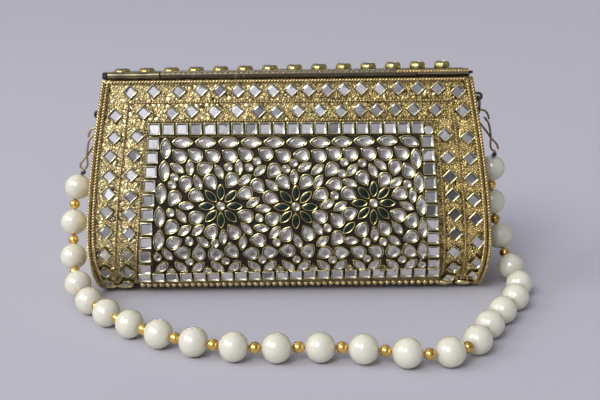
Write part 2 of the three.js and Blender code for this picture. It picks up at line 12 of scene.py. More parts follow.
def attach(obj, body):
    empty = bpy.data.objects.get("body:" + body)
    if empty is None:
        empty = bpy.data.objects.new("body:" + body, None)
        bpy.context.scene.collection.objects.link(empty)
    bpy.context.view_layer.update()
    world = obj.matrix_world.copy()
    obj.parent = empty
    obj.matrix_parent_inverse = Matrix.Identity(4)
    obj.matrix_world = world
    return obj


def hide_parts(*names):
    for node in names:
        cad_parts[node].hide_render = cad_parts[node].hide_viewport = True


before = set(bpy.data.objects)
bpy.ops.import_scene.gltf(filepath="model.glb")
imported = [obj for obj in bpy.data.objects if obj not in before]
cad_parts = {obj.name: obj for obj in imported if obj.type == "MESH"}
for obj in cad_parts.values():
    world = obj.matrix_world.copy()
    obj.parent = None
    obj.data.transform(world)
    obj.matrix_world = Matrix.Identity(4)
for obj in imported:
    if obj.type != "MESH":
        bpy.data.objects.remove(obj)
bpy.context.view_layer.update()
mm = 0.001
chance = random.Random(7)
xAxis, yAxis, zAxis = Vector((1, 0, 0)), Vector((0, 1, 0)), Vector((0, 0, 1))

# Camera: fitted to the pearls' pitch and the bag's outline
camera = {
    "place": (0.0056, -0.4874, 0.1834), "downTilt": 16.1, "roll": 0.65,
    "lens": 57.78, "sensorWidth": 36, "focalPixels": 963.0, "middlePixel": (300.0, 200.0),
}


def addObject(name, data):
    item = bpy.data.objects.new(name, data)
    bpy.context.scene.collection.objects.link(item)
    return item


def makeCamera():
    data = bpy.data.cameras.new("photoCamera")
    data.lens = camera["lens"]
    data.sensor_width = camera["sensorWidth"]
    turn = Euler((math.radians(90 - camera["downTilt"]), 0, 0)).to_matrix()
    turn = turn @ Matrix.Rotation(math.radians(-camera["roll"]), 3, "Z")
    eye = addObject("photoCamera", data)
    eye.matrix_world = Matrix.Translation(camera["place"]) @ turn.to_4x4()
    bpy.context.scene.camera = eye
    return Vector(camera["place"]) / mm, turn


eyePoint, eyeTurn = makeCamera()


def sightLine(px, py):
    midX, midY = camera["middlePixel"]
    focal = camera["focalPixels"]
    return (eyeTurn @ Vector(((px - midX) / focal, (midY - py) / focal, -1))).normalized()


# Lines: smoothed through points, measured, and cut into even steps

# Centripetal Catmull-Rom through the points
def smoothThrough(points, steps):
    ends = [points[0] * 2 - points[1]] + list(points) + [points[-1] * 2 - points[-2]]
    line = []
    for i in range(len(points) - 1):
        p0, p1, p2, p3 = ends[i:i + 4]
        d0, d1, d2 = ((p1 - p0).length ** 0.5, (p2 - p1).length ** 0.5, (p3 - p2).length ** 0.5)
        m1 = (p1 - p0) / d0 - (p2 - p0) / (d0 + d1) + (p2 - p1) / d1
        m2 = (p2 - p1) / d1 - (p3 - p1) / (d1 + d2) + (p3 - p2) / d2
        m1, m2 = m1 * d1, m2 * d1
        for k in range(steps):
            t = k / steps
            line.append(
                p1 * (2 * t ** 3 - 3 * t * t + 1) + m1 * (t ** 3 - 2 * t * t + t)
                + p2 * (3 * t * t - 2 * t ** 3) + m2 * (t ** 3 - t * t)
            )
    line.append(points[-1].copy())
    return line


def runningLengths(line):
    lengths = [0.0]
    for a, b in zip(line, line[1:]):
        lengths.append(lengths[-1] + (b - a).length)
    return lengths


# The span of a line that holds a running length, and the point there
def atLength(line, lengths, want):
    k = bisect.bisect_left(lengths, want, 1, len(lengths) - 1) - 1
    share = (want - lengths[k]) / (lengths[k + 1] - lengths[k])
    return k, line[k].lerp(line[k + 1], min(1, share))


def spread(first, last, count):
    return [first + (last - first) * k / count for k in range(count + 1)]


def resample(line, step):
    lengths = runningLengths(line)
    count = max(2, round(lengths[-1] / step))
    return [atLength(line, lengths, want)[1] for want in spread(0, lengths[-1], count)]


# Angles of a full turn, and a ring of points round a centre in the plane of u and v
def turns(count):
    return [2 * math.pi * k / count for k in range(count)]


def circle(centre, u, v, radius, sides):
    return [centre + (u * math.cos(a) + v * math.sin(a)) * radius for a in turns(sides)]


# Pearl string: the route of the CAD string, in metres, from the left hook round the front to the right hook
stringRoute = [
    (-0.107, 0, 0.0598), (-0.1114, -0.001, 0.0496), (-0.1126, -0.008, 0.0312), (-0.1106, -0.022, 0.0146),
    (-0.1034, -0.0402, 0.0077), (-0.0936, -0.0554, 0.0069), (-0.0809, -0.0704, 0.0068),
    (-0.0652, -0.0846, 0.0068), (-0.0484, -0.0952, 0.0068), (-0.0305, -0.1024, 0.0068),
    (-0.0115, -0.1054, 0.0068), (0.0074, -0.1052, 0.0068), (0.0258, -0.1062, 0.0068),
    (0.0442, -0.1104, 0.0068), (0.0624, -0.1134, 0.0068), (0.0778, -0.1066, 0.0068),
    (0.0872, -0.091, 0.0068), (0.0954, -0.0742, 0.0068), (0.1054, -0.0584, 0.0068),
    (0.1136, -0.042, 0.0068), (0.1165, -0.0264, 0.007), (0.1148, -0.0106, 0.0102),
    (0.111, -0.0006, 0.023), (0.1078, 0.0034, 0.0384), (0.1062, 0.003, 0.0564), (0.107, 0, 0.067),
]
pearlString = {"diameter": 0.001, "stepsPerSpan": 12}
stringLine = smoothThrough([Vector(p) for p in stringRoute], pearlString["stepsPerSpan"])
stringLengths = runningLengths(stringLine)


def stringAt(length):
    return atLength(stringLine, stringLengths, length * mm)[1] / mm


# The curve's bevel is 1 and each point's radius the thread's, so that its bounds stay true
def makeString():
    data = bpy.data.curves.new("pearlStringThread", "CURVE")
    data.dimensions = "3D"
    data.bevel_depth = 1
    data.bevel_resolution = 2
    spline = data.splines.new("POLY")
    spline.points.add(len(stringLine) - 1)
    for point, place in zip(spline.points, stringLine):
        point.co = (*place, 1)
        point.radius = pearlString["diameter"] / 2
    string = addObject("pearlStringThread", data)
    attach(string, "bag")
    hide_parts("handle_string")
    return string


thread = makeString()
print("camera and pearl string placed")


# Materials

def makeTree(name):
    material = bpy.data.materials.new(name)
    material.use_nodes = True
    tree = material.node_tree
    tree.nodes.clear()
    surface = tree.nodes.new("ShaderNodeBsdfPrincipled")
    output = tree.nodes.new("ShaderNodeOutputMaterial")
    tree.links.new(surface.outputs["BSDF"], output.inputs["Surface"])
    return material, tree, surface


def setSockets(node, values):
    for socket, value in values.items():
        node.inputs[socket].default_value = value


# A node whose inputs are either values or links, by name with spaces as low lines, or by number
def addNode(tree, kind, settings=None, inputs=(), **values):
    node = tree.nodes.new(kind)
    for key, value in (settings or {}).items():
        setattr(node, key, value)
    named = {key.replace("_", " "): value for key, value in values.items()}
    for socket, value in [*enumerate(inputs), *named.items()]:
        if isinstance(value, bpy.types.NodeSocket):
            tree.links.new(value, node.inputs[socket])
        else:
            node.inputs[socket].default_value = value
    return node


def addMath(tree, operation, *inputs):
    return addNode(tree, "ShaderNodeMath", {"operation": operation}, inputs).outputs[0]


def addVector(tree, operation, *inputs, **values):
    return addNode(tree, "ShaderNodeVectorMath", {"operation": operation}, inputs, **values).outputs[0]


def addRange(tree, value, low, high, toLow=0.0, toHigh=1.0):
    return addNode(tree, "ShaderNodeMapRange", {"interpolation_type": "SMOOTHSTEP"}, Value=value,
                   From_Min=low, From_Max=high, To_Min=toLow, To_Max=toHigh).outputs["Result"]


def addMix(tree, mask, first, second):
    node = addNode(tree, "ShaderNodeMix", {"data_type": "RGBA"}, (mask,))
    for slot, value in ((6, first), (7, second)):
        if isinstance(value, tuple):
            node.inputs[slot].default_value = (*value, 1)
        else:
            tree.links.new(value, node.inputs[slot])
    return node.outputs[2]


def addAxis(tree, vector, axis):
    return addNode(tree, "ShaderNodeSeparateXYZ", None, (vector,)).outputs[axis]


def startGroup(name, inputs, outputs):
    group = bpy.data.node_groups.new(name, "ShaderNodeTree")
    for label, value in inputs.items():
        kind = "NodeSocketFloat" if isinstance(value, float) else "NodeSocketVector"
        socket = group.interface.new_socket(label, in_out="INPUT", socket_type=kind)
        if value is not None:
            socket.default_value = value
    for label in outputs:
        group.interface.new_socket(label, in_out="OUTPUT", socket_type="NodeSocketFloat")
    return group, group.nodes.new("NodeGroupInput").outputs, group.nodes.new("NodeGroupOutput").inputs


def placeGroup(tree, group, vector, **values):
    return addNode(tree, "ShaderNodeGroup", {"node_tree": group}, Vector=vector, **values).outputs


# Chased relief of worked brass, with dirt settled in the low spots
def makeChasing():
    group, given, result = startGroup(
        "chasedRelief", {"Vector": None, "Scale": 900.0, "Wobble": 0.0006}, ("Recess", "Height"))
    warp = addNode(group, "ShaderNodeTexNoise", Vector=given["Vector"], Scale=700.0, Detail=2.0)
    centred = addVector(group, "SUBTRACT", warp.outputs["Color"], (0.5, 0.5, 0.5))
    scaled = addVector(group, "SCALE", centred, Scale=given["Wobble"])
    moved = addVector(group, "ADD", given["Vector"], scaled)
    cells = addNode(group, "ShaderNodeTexVoronoi", {"feature": "DISTANCE_TO_EDGE"}, Vector=moved,
                    Scale=given["Scale"])
    bosses = addNode(group, "ShaderNodeTexVoronoi", {"feature": "SMOOTH_F1"}, Vector=moved,
                     Scale=given["Scale"], Smoothness=0.35)
    groove = addRange(group, cells.outputs["Distance"], 0.02, 0.2, 1.0, 0.0)
    boss = addRange(group, bosses.outputs["Distance"], 0.15, 0.7, 1.0, 0.0)
    patch = addNode(group, "ShaderNodeTexNoise", Vector=given["Vector"], Scale=260.0, Detail=3.0)
    patches = addRange(group, patch.outputs["Fac"], 0.42, 0.62, 0.25, 1.0)
    group.links.new(addMath(group, "MULTIPLY", groove, patches), result["Recess"])
    group.links.new(addMath(group, "SUBTRACT", boss, groove), result["Height"])
    return group


# Fine wear: hazy patches that break up a polished face
def makeWear():
    group, given, result = startGroup(
        "fineWear", {"Vector": None, "Scale": 120.0, "Stretch": (1.0, 1.0, 1.0), "Smooth": 0.12, "Rough": 0.3},
        ("Mask", "Roughness", "Height"))
    stretched = addVector(group, "MULTIPLY", given["Vector"], given["Stretch"])
    haze = addNode(group, "ShaderNodeTexNoise", Vector=stretched, Scale=given["Scale"], Detail=4.0,
                   Roughness=0.6)
    mask = addRange(group, haze.outputs["Fac"], 0.35, 0.68)
    span = addMath(group, "SUBTRACT", given["Rough"], given["Smooth"])
    group.links.new(mask, result["Mask"])
    group.links.new(addMath(group, "MULTIPLY_ADD", mask, span, given["Smooth"]), result["Roughness"])
    group.links.new(haze.outputs["Fac"], result["Height"])
    return group


chasing = makeChasing()
wear = makeWear()
# The darkest colour: patina in the chased hollows, and painted shade wherever a tone calls for it
patinaAndShadeColour = (0.045, 0.033, 0.018)
still = (1.0, 1.0, 1.0)


# A material whose roughness follows the fine wear
def wornSurface(name, smooth, rough, scale=120.0, stretch=still):
    material, tree, surface = makeTree(name)
    place = tree.nodes.new("ShaderNodeTexCoord").outputs["Object"]
    worn = placeGroup(tree, wear, place, Scale=scale, Stretch=stretch, Smooth=smooth, Rough=rough)
    tree.links.new(worn["Roughness"], surface.inputs["Roughness"])
    return material, tree, surface, place, worn


def colourBy(tree, surface, mask, first, second):
    tree.links.new(addMix(tree, mask, first, second), surface.inputs["Base Color"])


def addBump(tree, surface, height, strength, distance):
    bump = addNode(tree, "ShaderNodeBump", Strength=strength, Distance=distance, Height=height)
    tree.links.new(bump.outputs["Normal"], surface.inputs["Normal"])


# A tone held on the mesh darkens the colour: painted shade in grooves, at feet and on the hinge tube's lower
# side, painted light and shade on tray walls, painted dark reflections in some mirrors and in the foils'
# middles, and a tone that varies one mirror or stone from the next
def addToneAndShade(tree):
    return addNode(tree, "ShaderNodeAttribute", {"attribute_name": "tone"}).outputs["Fac"]


# The left of the bag is painted paler, a painted reflection of the lamp at the left, and the right a deeper
# gold; worn patches are duller by a share of each colour
def wearAndSideLightTint(tree, place, mask, left, right, dullLeft, dullRight):
    sideLightShare = addRange(tree, addAxis(tree, place, "X"), -0.1, 0.08)
    dull = addMix(tree, sideLightShare, tuple(dullLeft * c for c in left), tuple(dullRight * c for c in right))
    return addMix(tree, mask, addMix(tree, sideLightShare, left, right), dull)


# The chased relief's dirt is fainter on the bag's back
def workedBrass(name, left, right, chaseScale, depth, smooth, rough):
    material, tree, surface, place, worn = wornSurface(name, smooth, rough)
    chased = placeGroup(tree, chasing, place, Scale=chaseScale)
    front = addRange(tree, addAxis(tree, place, "Y"), 0.004, -0.006, 0.3, 1.0)
    low = addMath(tree, "MAXIMUM", addMath(tree, "MULTIPLY", chased["Recess"], front), addToneAndShade(tree))
    colourBy(tree, surface, low, wearAndSideLightTint(tree, place, worn["Mask"], left, right, 0.72, 0.66), patinaAndShadeColour)
    surface.inputs["Metallic"].default_value = 1.0
    addBump(tree, surface, chased["Height"], 0.9, depth)
    return material


def polishedMetal(name, left, right, smooth, rough, scale=120.0, deep=patinaAndShadeColour, stretch=still):
    material, tree, surface, place, worn = wornSurface(name, smooth, rough, scale, stretch)
    colourBy(tree, surface, addToneAndShade(tree), wearAndSideLightTint(tree, place, worn["Mask"], left, right, 0.62, 0.55), deep)
    surface.inputs["Metallic"].default_value = 1.0
    addBump(tree, surface, worn["Height"], 0.15, 0.00012)
    return material


def tonedMirror(name, light, dark, smooth, haze, scale):
    material, tree, surface, place, worn = wornSurface(name, smooth, smooth * 2.5, scale)
    mask = addMath(tree, "MULTIPLY_ADD", worn["Mask"], haze, addToneAndShade(tree))
    colourBy(tree, surface, addMath(tree, "MINIMUM", mask, 1.0), light, dark)
    surface.inputs["Metallic"].default_value = 1.0
    return material


def clearCrystal(name):
    material, tree, surface, place, worn = wornSurface(name, 0.0, 0.04, 600.0)
    setSockets(surface, {"Base Color": (0.97, 0.98, 1.0, 1), "IOR": 1.5, "Transmission Weight": 1.0})
    return material


def glossyDark(name, colour, tint, smooth, relief, shine=0.5):
    material, tree, surface, place, worn = wornSurface(name, smooth, smooth * 2, 420.0)
    colourBy(tree, surface, worn["Mask"], colour, tint)
    surface.inputs["Specular IOR Level"].default_value = shine
    addBump(tree, surface, worn["Height"], 0.4, relief)
    return material


# Pearl coat: a lit-through body that turns yellower towards its rim, under a clear hard gloss
def pearlShell(name):
    material, tree, surface, place, worn = wornSurface(name, 0.2, 0.3, 70.0)
    body = addMix(tree, worn["Mask"], (0.68, 0.665, 0.57), (0.65, 0.63, 0.535))
    facing = addNode(tree, "ShaderNodeLayerWeight", Blend=0.3)
    colourBy(tree, surface, facing.outputs["Facing"], body, (0.6, 0.58, 0.36))
    setSockets(surface, {
        "Specular IOR Level": 0.2, "Coat Weight": 1.0, "Coat Roughness": 0.07, "Coat IOR": 1.85,
        "Subsurface Weight": 1.0, "Subsurface Radius": (0.012, 0.0115, 0.0105), "Subsurface Scale": 1.0,
    })
    return material


def napVelvet(name, pile, shade):
    material, tree, surface, place, worn = wornSurface(name, 0.8, 0.95, 60.0)
    fibres = addNode(tree, "ShaderNodeTexNoise", Vector=place, Scale=3800.0, Detail=2.0)
    colourBy(tree, surface, worn["Mask"], pile, shade)
    setSockets(surface, {"Sheen Weight": 0.8, "Sheen Roughness": 0.35})
    addBump(tree, surface, fibres.outputs["Fac"], 0.6, 0.0002)
    return material


def twistedYarn(name, colour, shade):
    material, tree, surface, place, worn = wornSurface(name, 0.6, 0.85, 2600.0, (1.0, 1.0, 3.0))
    colourBy(tree, surface, worn["Mask"], colour, shade)
    addBump(tree, surface, worn["Height"], 0.5, 0.0001)
    return material


# Colours at the left and the right, the left paler as a painted reflection of the lamp at the left, then how
# smooth and how rough the metal is, and the scale of its wear
polished = {
    "filigree": ("filigreeBrass", (0.93, 0.8, 0.45), (0.98, 0.81, 0.39), 0.16, 0.34, 420.0),
    "rope": ("ropeBrass", (0.96, 0.76, 0.38), (0.95, 0.73, 0.32), 0.18, 0.36, 500.0),
    "bezel": ("bezelBrass", (0.76, 0.68, 0.34), (0.7, 0.61, 0.28), 0.12, 0.3, 500.0),
    "frame": ("frameBrass", (0.86, 0.79, 0.46), (0.84, 0.74, 0.38), 0.14, 0.3, 500.0),
    "hinge": ("hingeBrass", (0.4, 0.335, 0.2), (0.44, 0.37, 0.23), 0.24, 0.42, 900.0,
              (0.018, 0.018, 0.024), (0.1, 1.0, 1.0)),
    "bead": ("beadGold", (1.0, 0.68, 0.2), (1.0, 0.66, 0.18), 0.1, 0.2),
    "strip": ("stripBrass", (0.54, 0.48, 0.34), (0.48, 0.42, 0.29), 0.2, 0.4, 700.0),
    "cup": ("cupGold", (0.66, 0.5, 0.17), (0.66, 0.56, 0.2), 0.14, 0.3, 500.0),
    "wire": ("hookWire", (0.46, 0.37, 0.19), (0.46, 0.36, 0.19), 0.2, 0.36),
    "ring": ("ringWire", (0.16, 0.13, 0.08), (0.16, 0.13, 0.08), 0.24, 0.4),
}
# The same colours, then the scale and depth of the chasing, and how smooth and how rough the metal is
worked = {
    "sheet": ("chasedBrass", (0.85, 0.7, 0.36), (0.44, 0.34, 0.13), 430.0, 0.0002, 0.26, 0.44),
    "tarnished": ("tarnishedBrass", (0.38, 0.31, 0.15), (0.4, 0.33, 0.15), 900.0, 0.0002, 0.3, 0.5),
    "lidBrass": ("lidBrass", (0.36, 0.32, 0.19), (0.33, 0.29, 0.17), 700.0, 0.0003, 0.2, 0.4),
}
finish = {
    **{key: polishedMetal(*values) for key, values in polished.items()},
    **{key: workedBrass(*values) for key, values in worked.items()},
    "mirror": tonedMirror("mirrorPlate", (0.95, 0.94, 0.93), (0.2, 0.2, 0.2), 0.04, 0.12, 260.0),
    "foil": tonedMirror("stoneFoil", (0.98, 0.93, 0.81), (0.12, 0.11, 0.092), 0.1, 0.3, 520.0),
    "crystal": clearCrystal("clearStone"),
    "petal": glossyDark("greenGlass", (0.001, 0.003, 0.0016), (0.002, 0.02, 0.008), 0.06, 0.00004, 0.4),
    "lac": glossyDark("blackLac", (0.018, 0.013, 0.012), (0.028, 0.022, 0.018), 0.22, 0.0001, 0.16),
    "enamel": glossyDark("blackEnamel", (0.008, 0.008, 0.012), (0.014, 0.014, 0.02), 0.2, 0.00004),
    "pearl": pearlShell("pearlShell"),
    "velvet": napVelvet("liningVelvet", (0.12, 0.008, 0.018), (0.06, 0.004, 0.01)),
    "thread": twistedYarn("threadYarn", (0.8, 0.78, 0.7), (0.62, 0.6, 0.52)),
    "knot": twistedYarn("knotYarn", (0.05, 0.045, 0.04), (0.02, 0.02, 0.02)),
}
print("materials made")


# Meshes: a pile collects closed rings of points and becomes one piece

def newPile():
    return {"points": [], "faces": [], "tones": []}


def addPoints(pile, points, tone=0.0):
    first = len(pile["points"])
    pile["points"].extend(points)
    pile["tones"].extend(tone if isinstance(tone, list) else [tone] * len(points))
    return first


# Rings of equal count become one skin, with a flat face at either end
def addSkin(pile, rings, tone=0.0, closeEnd=True, joined=False):
    count = len(rings[0])
    first = addPoints(pile, [p for ring in rings for p in ring], tone)
    for r in range(len(rings) if joined else len(rings) - 1):
        low = first + r * count
        high = first + (r + 1) % len(rings) * count
        for k in range(count):
            after = (k + 1) % count
            pile["faces"].append((low + k, low + after, high + after, high + k))
    if not joined:
        pile["faces"].append(tuple(first + k for k in reversed(range(count))))
    if not joined and closeEnd:
        last = first + (len(rings) - 1) * count
        pile["faces"].append(tuple(last + k for k in range(count)))


def makePiece(name, pile, material, body="bag", stands=(), sharp=35):
    mesh = bpy.data.meshes.new(name)
    mesh.from_pydata([tuple(c * mm for c in p) for p in pile["points"]], [], pile["faces"])
    tones = mesh.attributes.new("tone", "FLOAT", "POINT")
    tones.data.foreach_set("value", pile["tones"])
    mesh.materials.append(finish[material])
    mesh.shade_smooth()
    mesh.set_sharp_from_angle(angle=math.radians(sharp))
    piece = addObject(name, mesh)
    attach(piece, body)
    if stands:
        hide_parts(*stands)
    return piece


# A right-handed frame at each point of a line, turned as little as possible from one to the next
def framesAlong(line, upward):
    frames = []
    normal = upward
    for i, point in enumerate(line):
        along = (line[min(i + 1, len(line) - 1)] - line[max(i - 1, 0)]).normalized()
        normal = (normal - along * normal.dot(along)).normalized()
        frames.append((point, normal, along.cross(normal), along))
    return frames


# Wire of round section along a line
def addWire(pile, line, radius, sides, upward=-yAxis):
    addSkin(pile, [circle(point, normal, across, radius, sides)
                   for point, normal, across, along in framesAlong(line, upward)])


# Rope: strands that turn about the line, one pitch for each full turn, with painted shade in the grooves
# between them
strand = {"share": {2: 0.52, 3: 0.44}, "groove": 3.8, "shadeOffset": 0.06}


def addRope(pile, line, radius, pitch, turn, strands, stepsPerTurn, sides, upward=-yAxis):
    frames = framesAlong(resample(line, pitch / stepsPerTurn), upward)
    strandRadius = radius * strand["share"][strands]
    offset = radius - strandRadius
    for start in turns(strands):
        rings, tones = [], []
        for i, (point, normal, across, along) in enumerate(frames):
            angle = turn * 2 * math.pi * i / stepsPerTurn + start
            out = normal * math.cos(angle) + across * math.sin(angle)
            forward = (along * pitch + along.cross(out) * turn * 2 * math.pi * offset).normalized()
            rings.append(circle(point + out * offset, out, forward.cross(out), strandRadius, sides))
            for b in turns(sides):
                # Painted shade, deeper towards the rope's core
                depth = 1 - math.hypot(offset + strandRadius * math.cos(b), strandRadius * math.sin(b)) / radius
                tones.append(min(1.0, max(0.0, strand["groove"] * depth - strand["shadeOffset"])))
        addSkin(pile, rings, tones)


# Low dome of a soldered grain, sitting in the surface. A level's lift and reach are shares of the radius.
grainLevels = ((-0.25, 0.9), (0.35, 0.95), (0.8, 0.6))


def addGrain(pile, seat, radius, sides=7):
    centre, normal, along, across = seat
    addSkin(pile, [circle(centre + normal * lift * radius, along, across, reach * radius, sides)
                   for lift, reach in grainLevels], closeEnd=False)
    top = addPoints(pile, [centre + normal * radius])
    for k in range(sides):
        pile["faces"].append((top - sides + k, top - sides + (k + 1) % sides, top))


# The body's outer line in Y and Z, with the same driving sizes as the CAD sheet
body = {
    "rimHeight": 108.6, "rimHalfDepth": 9.0, "rimHalfWidth": 92.3,
    "bellyHeight": 29.0, "bellyHalfDepth": 30.0, "bellyHalfWidth": 101.2,
    "baseHeight": 2.6, "baseHalfDepth": 13.0, "baseHalfWidth": 98.2,
    "rimPull": 1.15, "bellyPull": 0.35, "cornerPull": 0.62, "basePull": 0.55,
    "sideCurve": 1.5, "stepsPerCurve": 40, "baseSteps": 20, "sideReach": 6,
}


def bezierPoint(a, b, c, d, t):
    return a * (1 - t) ** 3 + b * (3 * t * (1 - t) ** 2) + c * (3 * t * t * (1 - t)) + d * t ** 3


def makeBodyLine():
    rimHeight, bellyHeight, low = body["rimHeight"], body["bellyHeight"], body["baseHeight"]
    rim, belly, base = body["rimHalfDepth"], body["bellyHalfDepth"], body["baseHalfDepth"]
    lean = (belly - rim) / (rimHeight - bellyHeight)
    wall = (rimHeight - bellyHeight) / 3
    corner = (bellyHeight - low) * body["cornerPull"]
    front = [
        [(-rim, rimHeight), (-rim - wall * lean * body["rimPull"], rimHeight - wall),
         (-belly + wall * lean * body["bellyPull"], bellyHeight + wall), (-belly, bellyHeight)],
        [(-belly, bellyHeight), (-belly, bellyHeight - corner),
         (-base - (belly - base) * body["basePull"], low), (-base, low)],
    ]
    steps = body["stepsPerCurve"]
    half = []
    for curve in front:
        a, b, c, d = (Vector((0, y, z)) for y, z in curve)
        half += [bezierPoint(a, b, c, d, k / steps) for k in range(steps)]
    half.append(Vector((0, -base, low)))
    return half + [Vector((0, -p.y, p.z)) for p in reversed(half)]


bodyLine = makeBodyLine()
bodyLengths = runningLengths(bodyLine)


def bodyAt(length):
    k, point = atLength(bodyLine, bodyLengths, length)
    along = (bodyLine[min(k + 2, len(bodyLine) - 1)] - bodyLine[max(k - 1, 0)]).normalized()
    return point, Vector((0, along.z, -along.y))


def lengthAtHeight(z):
    for k, p in enumerate(bodyLine):
        if p.z <= z:
            a = bodyLine[k - 1]
            return bodyLengths[k - 1] + (bodyLengths[k] - bodyLengths[k - 1]) * (a.z - z) / (a.z - p.z)
    return bodyLengths[-1]


def halfWidthAt(z):
    widest, middle = body["bellyHalfWidth"], body["bellyHeight"]
    if z >= middle:
        t = min(1, (z - middle) / (body["rimHeight"] - middle))
        return widest - (widest - body["rimHalfWidth"]) * t ** body["sideCurve"]
    t = (middle - z) / (middle - body["baseHeight"])
    return widest - (widest - body["baseHalfWidth"]) * t ** 2


# A point on the body, and its outward normal, at x and a running length down the front
def onBody(x, length, lift=0.0):
    point, normal = bodyAt(length)
    return Vector((x, point.y, point.z)) + normal * lift, normal


# A level seat on the body at a running length
def levelSeat(x, length, lift):
    centre, normal = onBody(x, length, lift)
    return centre, normal, xAxis, normal.cross(xAxis)


# The front of the body as a fine skin, lifted off the sheet, for finding what lies under a pixel
def frontSkin(lift):
    count = 2 * body["stepsPerCurve"] + body["baseSteps"]
    rows = [onBody(0, length, lift)[0] for length in bodyLengths[:count]]
    reach = body["bellyHalfWidth"] + body["sideReach"]
    points = [Vector((x, p.y, p.z)) for p in rows for x in (-reach, reach)]
    faces = [(2 * k, 2 * k + 1, 2 * k + 3, 2 * k + 2) for k in range(len(rows) - 1)]
    return BVHTree.FromPolygons(points, faces)


carrierLift = {"sheet": 0.0, "panel": 1.5, "band": 1.3}
carriers = {name: frontSkin(lift) for name, lift in carrierLift.items()}


# What lies under a pixel of the photograph: point, normal, and the picture's right and up laid on the surface
def seatUnder(px, py, carrier="sheet", tip=0.0):
    hit = carriers[carrier].ray_cast(eyePoint, sightLine(px, py))[0]
    if hit is None:
        raise ValueError(f"nothing under pixel {px}, {py}")
    normal = bodyAt(lengthAtHeight(max(hit.z, body["baseHeight"] + 0.05)))[1]
    turn = math.radians(tip)
    sight = sightLine(px + math.cos(turn), py - math.sin(turn))
    beside = eyePoint + sight * ((hit - eyePoint).dot(normal) / sight.dot(normal))
    along = (beside - hit).normalized()
    return hit, normal, along, normal.cross(along)


# Outlines of settings and stones, as (along, across) pairs
def roundOutline(width, height):
    return [(width / 2 * math.cos(a), height / 2 * math.sin(a)) for a in turns(16)]


def marquiseOutline(length, width):
    return [(length / 2 * math.cos(a), width / 2 * math.sin(a) * abs(math.sin(a)) ** 0.5) for a in turns(24)]


def pearOutline(length, width):
    waist = 0.62
    widest = max(math.sin(a / 50) * math.sin(a / 100) ** waist for a in range(1, 157))
    return [(length / 2 * math.cos(a), width / 2 * (math.sin(a) * abs(math.sin(a / 2)) ** waist / widest))
            for a in turns(24)]


def squareOutline(width, height):
    corner = 0.35
    out = []
    for turn, (sideX, sideY) in enumerate(((1, 1), (-1, 1), (-1, -1), (1, -1))):
        for k in range(3):
            a = math.pi / 2 * turn + math.pi / 4 * k
            out.append((sideX * (width / 2 - corner) + corner * math.cos(a),
                        sideY * (height / 2 - corner) + corner * math.sin(a)))
    return out


# Each outline, and how much more a wall takes at its tips than at its sides
outlines = {"round": (roundOutline, 1.0), "marquise": (marquiseOutline, 1.9), "leaf": (marquiseOutline, 1.6),
            "pear": (pearOutline, 1.35), "square": (squareOutline, 1.0)}


def ringOn(seat, shape, length, width, inset, lift, slope=(0, 0)):
    centre, normal, along, across = seat
    outline, tipInset = outlines[shape]
    least = 0.02
    return [
        centre + along * u + across * v + normal * (lift + u * slope[0] + v * slope[1])
        for u, v in outline(max(least, length - 2 * inset * tipInset), max(least, width - 2 * inset))
    ]


# Bezel: a strip of brass bent round the stone, with a soft lip, a painted shadow line round its foot and a
# little painted shade just below the lip
bezelFoot = {"reach": 0.26, "rise": 0.3, "footShade": 0.92}


def addBezel(pile, seat, shape, length, width, form):
    wall, height, foot, footShade = form["wall"], form["height"], -bezelFoot["reach"], bezelFoot["footShade"]
    steps = [(foot, -0.25, footShade), (foot, 0.04, footShade), (0, bezelFoot["rise"], footShade),
             (0, height - 0.3, 0.1), (wall * 0.22, height - 0.06, 0), (wall * 0.5, height, 0),
             (wall * 0.82, height - 0.08, 0), (wall, height - 0.28, 0.1), (wall, form["floor"], 0)]
    rings = [ringOn(seat, shape, length, width, inset, lift) for inset, lift, dark in steps]
    addSkin(pile, rings, [dark for inset, lift, dark in steps for p in rings[0]])


# Flat mirror plate lying in a bezel
def addPlate(pile, seat, shape, size, wall, lift, tone, slope=(0, 0)):
    rings = [ringOn(seat, shape, size, size, wall - 0.02, high, slope) for high in (lift - 0.15, lift)]
    addSkin(pile, rings, tone)


# Silvered tray round a mirror: its walls lean in from the bezel to the sunk mirror, each painted with its own
# light or shade
def addTray(pile, seat, sunk, form, shades):
    size, wall, base = form["size"], form["wall"], form["floor"]
    steps = ((seat, wall - 0.02, base), (seat, wall - 0.02, form["height"] - 0.35),
             (sunk, wall + form["draft"], form["plate"]))
    rings = [ringOn(place, "square", size, size, inset, lift) for place, inset, lift in steps]
    side = [shades[(k // 3 + (k % 3 > 0)) % 4] for k in range(len(rings[0]))]
    addSkin(pile, rings, side * len(rings))


# Mirror setting: a bezel, a tray whose mirror slips sideways by the given steps, and a slightly tilted mirror
def addMirror(cups, glass, seat, form, slip, shades, tone):
    addBezel(cups, seat, "square", form["size"], form["size"], form)
    centre, normal, along, across = seat
    sunk = (centre + along * slip[0] + across * slip[1], normal, along, across)
    addTray(glass, seat, sunk, form, shades)
    addPlate(glass, sunk, "square", form["size"], form["wall"] + form["draft"], form["plate"] + 0.06, tone,
             mirrorSlope(form["tilt"]))


def mirrorSlope(tilt):
    return (chance.uniform(-tilt, tilt), chance.uniform(-tilt, tilt))


# Clear domed stone: flat back, sharp girdle and a low crown
def addStone(pile, seat, shape, length, width, wall, floor, girdle, crown):
    half, steps = width / 2 - wall, 6
    levels = [(wall + 0.02, floor), (wall + 0.02, girdle)]
    for k in range(1, steps):
        a = math.pi / 2 * k / steps
        levels.append((wall + half * (1 - math.cos(a)), girdle + crown * math.sin(a)))
    addSkin(pile, [ringOn(seat, shape, length, width, inset, lift) for inset, lift in levels])


